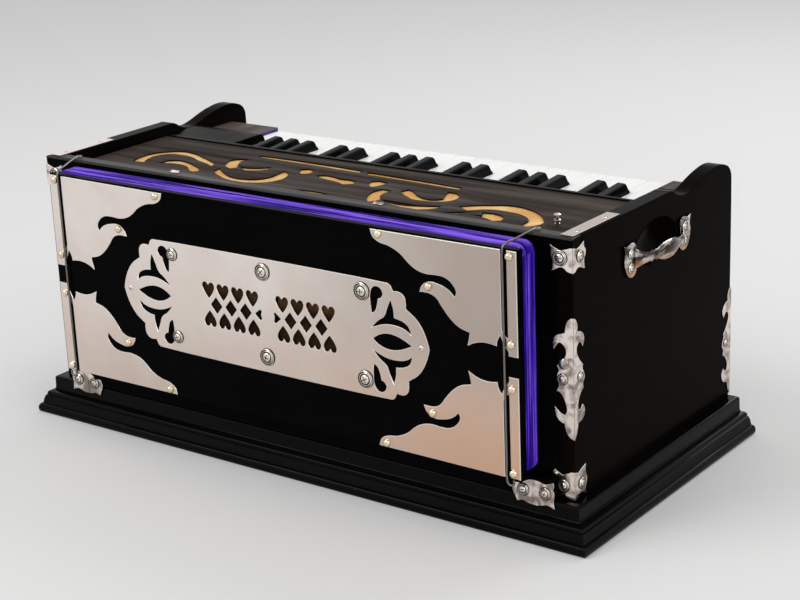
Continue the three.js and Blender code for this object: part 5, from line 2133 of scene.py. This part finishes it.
    def foot_bracket(self) -> Piece:
        """Makes the two-leaved bracket on the ledge, with its fold in the middle.

        Returns:
            The bracket.
        """
        low, high = self.ledge_levels
        leaf = flat_piece("ledge_bracket", self.foot_outline, Facing.FRONT, low, high, edge=0.25)
        plated(leaf, self.finishes.trim, self.finishes.rim_highlight)
        fold = tube("fold", [(x, -high - self.seat, z) for x, z in self.fold_line], 0.55)
        polish(fold, 50, self.finishes.trim)
        screws = [self.fasteners.put(self.fasteners.cup, (x, -high, z), Facing.FRONT, 1.12, turn)
                  for x, z, turn in self.ledge_screws]
        return join("ledge_bracket", [leaf, fold, *screws])


# Player's side and inside


@dataclass
class PlayerSide:
    """Panel below the keys with its beading, and the two stop knobs."""

    finishes: Finishes
    half: float = 270.7
    inner: float = 243.0
    outer: float = 257.0
    low: float = 12.3
    top: float = 226.0
    shaft_hole: float = 4.5
    bead_outer: Sides = (-248.0, 248.0, 58.0, 206.0)
    bead_inner: Sides = (-241.0, 241.0, 65.0, 199.0)
    bead_height: float = 3.0
    stop_spread: float = 110.0
    stop_height: float = 140.0
    stop_profile: Ring = (
        (7.8, 222), (8, 222.4), (8, 225.6), (7.6, 226), (4, 226.1), (4, 257.3), (6, 257.35),
        (6.8, 258.2), (6.6, 259.4), (5.4, 261), (5, 262.6), (5.6, 264), (8.2, 265.2),
        (10.2, 266.6), (11, 268.6), (10.9, 270.4), (10, 272), (7.6, 273), (4, 273.25), (1, 273.3))
    ring_profile: Ring = ((5.7, 261.3), (6.3, 261.8), (6.3, 262.9), (5.7, 263.4))

    def build(self) -> list[Piece]:
        """Makes the panel, its beading and the knobs.

        Returns:
            All pieces.
        """
        holes = [circle(side * self.stop_spread, self.stop_height, self.shaft_hole)
                 for side in (-1, 1)]
        panel = flat_piece("player_board", rectangle(-self.half, self.half, self.low, self.top),
                           Facing.BACK, self.inner, self.outer, holes, edge=1.0, rounds=2)
        bead = flat_piece("panel_beading", rectangle(*self.bead_outer), Facing.BACK, self.outer,
                          self.outer + self.bead_height, [rectangle(*self.bead_inner)],
                          edge=1.4, rounds=3)
        pieces = [panel, bead]
        for piece in pieces:
            smooth(piece, 40)
            dress(piece, self.finishes.lacquer, "black_lacquer", "cabinet")
        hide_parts("player_panel")
        for side, name in ((-1, "treble"), (1, "bass")):
            pieces.append(self.stop(side, name))
        return pieces

    def stop(self, side: int, name: str) -> Piece:
        """Turns one stop knob with its shaft, collar and ring.

        Args:
            side: -1 for the treble end, 1 for the bass end.
            name: That end's name.

        Returns:
            The knob.
        """
        place = Facing.BACK.place((side * self.stop_spread, 0, self.stop_height))
        knob = polish(turned("knob", self.stop_profile, place, 32), 40, self.finishes.key_black)
        ring = polish(turned("ring", self.ring_profile, place, 28), 40, self.finishes.bright)
        piece = hang(join(f"{name}_stop_knob", [knob, ring]), "key_black", f"stop_{name}")
        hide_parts(f"{name}_stop")
        return piece


@dataclass
class Windchest:
    """Reed board and reservoir under the keys."""

    finishes: Finishes
    half: float = 235.0
    front: float = 45.0
    rear: float = 235.0
    low: float = 176.3
    high: float = 199.7
    pleats: int = 3
    pleat_rise: float = 5.0
    steps: int = 8

    def build(self) -> list[Piece]:
        """Stains the boards and folds the reservoir's cloth.

        Returns:
            The cloth.
        """
        for node in ("reed_board", "reservoir_board"):
            paint(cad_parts[node], self.finishes.pale_wood)
        walk = rounded_loop(self.half - 0.6, self.front + 0.6, self.rear - 0.6, 6.0, 8.0)
        rows = pleats(self.pleats, self.steps, self.pleat_rise, self.low, self.high)
        cloth, width, length = pleated_band("reservoir_folds", walk, rows, Facing.TOP, 0.5, 0.6)
        cloth.data.materials.append(self.finishes.dark_cloth)
        spot(0, 140, self.high)
        spot(0, 140, self.low)
        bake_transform(cloth)
        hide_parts("reservoir_cloth")
        return [cloth]


# Studio


@dataclass
class Studio:
    """Pale floor, soft lamps and the camera at the photograph's place."""

    camera_place: Spot = (994.58, -1161.944, 657.92)
    yaw: float = -0.64515112
    pitch: float = 0.31901542
    roll: float = -0.04203803
    lens: float = 83.757
    floor_colour: Colour = (0.80, 0.80, 0.795)
    sky_level: float = 0.6
    backdrop_level: float = 0.92
    lamps: tuple[tuple[str, Spot, float, float], ...] = (
        ("key_lamp", (-1.1, -1.5, 1.9), 1.5, 22.0), ("fill_lamp", (1.9, -0.6, 1.3), 1.3, 9.0),
        ("rear_lamp", (0.3, 1.7, 1.7), 1.4, 13.0))

    def build(self) -> None:
        """Sets the floor, the lamps, the world and the camera."""
        clear()
        bpy.ops.mesh.primitive_plane_add(size=14, location=(0, 0, 0))
        floor = settle(bpy.context.object, "studio_floor")
        recipe = Recipe("floor_paper")
        tone = recipe.grain((0.8, 0.8, 0.8), 2)
        fine = recipe.grain((400, 400, 400), 2)
        low = tuple(c * 0.985 for c in self.floor_colour)
        colour = recipe.ramp(tone, ((0.2, low), (0.8, self.floor_colour)))
        recipe.relief(fine, 0.02)
        floor.data.materials.append(recipe.wear(colour, Roughness=0.85, Specular_IOR_Level=0.2))
        floor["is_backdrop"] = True
        for name, at, size, power in self.lamps:
            self.lamp(name, Vector(at), size, power)
        self.world()
        self.camera()
        bpy.context.scene.view_settings.view_transform = "Standard"

    def lamp(self, name: str, at: Vector, size: float, power: float) -> None:
        """Hangs one soft lamp that looks at the harmonium.

        Args:
            name: The lamp's name.
            at: Its place in metres.
            size: Its side.
            power: Its power in watts.
        """
        light = bpy.data.lights.new(name, "AREA")
        light.shape = "SQUARE"
        light.size = size
        light.energy = power
        lamp = bpy.data.objects.new(name, light)
        lamp.location = at
        lamp.rotation_euler = (Vector((0, 0, 0.12)) - at).to_track_quat("-Z", "Y").to_euler()
        bpy.context.scene.collection.objects.link(lamp)

    def world(self) -> None:
        """Lights the room evenly, and shows it white to the camera and in reflections."""
        world = bpy.data.worlds.new("studio_world")
        bpy.context.scene.world = world
        world.use_nodes = True
        tree = world.node_tree
        tree.nodes.clear()
        rays = tree.nodes.new("ShaderNodeLightPath")
        seen = rays.outputs["Is Camera Ray"]
        for name in ("Is Glossy Ray", "Is Transmission Ray"):
            most = tree.nodes.new("ShaderNodeMath")
            most.operation = "MAXIMUM"
            tree.links.new(seen, most.inputs[0])
            tree.links.new(rays.outputs[name], most.inputs[1])
            seen = most.outputs[0]
        shades = []
        for strength in (self.sky_level, self.backdrop_level):
            shade = tree.nodes.new("ShaderNodeBackground")
            shade.inputs["Color"].default_value = (1, 1, 1, 1)
            shade.inputs["Strength"].default_value = strength
            shades.append(shade)
        mix = tree.nodes.new("ShaderNodeMixShader")
        tree.links.new(seen, mix.inputs[0])
        tree.links.new(shades[0].outputs[0], mix.inputs[1])
        tree.links.new(shades[1].outputs[0], mix.inputs[2])
        output = tree.nodes.new("ShaderNodeOutputWorld")
        tree.links.new(mix.outputs[0], output.inputs["Surface"])

    def camera(self) -> None:
        """Puts the camera where the photograph was taken."""
        forward = Vector((math.sin(self.yaw) * math.cos(self.pitch),
                          math.cos(self.yaw) * math.cos(self.pitch), -math.sin(self.pitch)))
        level = Vector((math.cos(self.yaw), -math.sin(self.yaw), 0))
        up = level.cross(forward)
        right = math.cos(self.roll) * level + math.sin(self.roll) * up
        top = -math.sin(self.roll) * level + math.cos(self.roll) * up
        turn = Matrix((right, top, -forward)).transposed().to_4x4()
        data = bpy.data.cameras.new("photo_camera")
        data.lens = self.lens
        data.sensor_width = 36
        data.sensor_fit = "HORIZONTAL"
        data.clip_start = 0.01
        camera = bpy.data.objects.new("photo_camera", data)
        camera.matrix_world = Matrix.Translation(spot(*self.camera_place)) @ turn
        bpy.context.scene.collection.objects.link(camera)
        bpy.context.scene.camera = camera


def report(title: str, pieces: Sequence[Piece]) -> None:
    """Logs each piece of a sub-assembly with its face count."""
    for piece in pieces:
        LOG.info("%s: %s, %d faces", title, piece.name, len(piece.data.polygons))


def main() -> None:
    logging.basicConfig(level=logging.INFO, format="%(message)s")
    finishes = Finishes()
    Studio().build()
    fasteners = Fasteners(finishes)
    report("plinth", Plinth(finishes).build())
    report("cheeks", Cheeks(finishes).build())
    report("front", FrontBoard(finishes).build())
    report("bellows", Bellows(finishes).build())
    report("corner plates", CornerPlates(finishes, fasteners).build())
    report("centre plate", CentrePlate(finishes, fasteners).build())
    report("lid", TopPanel(finishes).build(fasteners))
    report("keyboard", Keyboard(finishes).build())
    report("handles", Handles(finishes, fasteners).build())
    report("trim", CornerTrim(finishes, fasteners).build())
    report("player side", PlayerSide(finishes).build())
    report("windchest", Windchest(finishes).build())
    fasteners.put_away()
    clear()
    boxes = [[list(corner) for corner in box] for box in (CAD_BOX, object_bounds())]


if __name__ == "__main__":
    main()
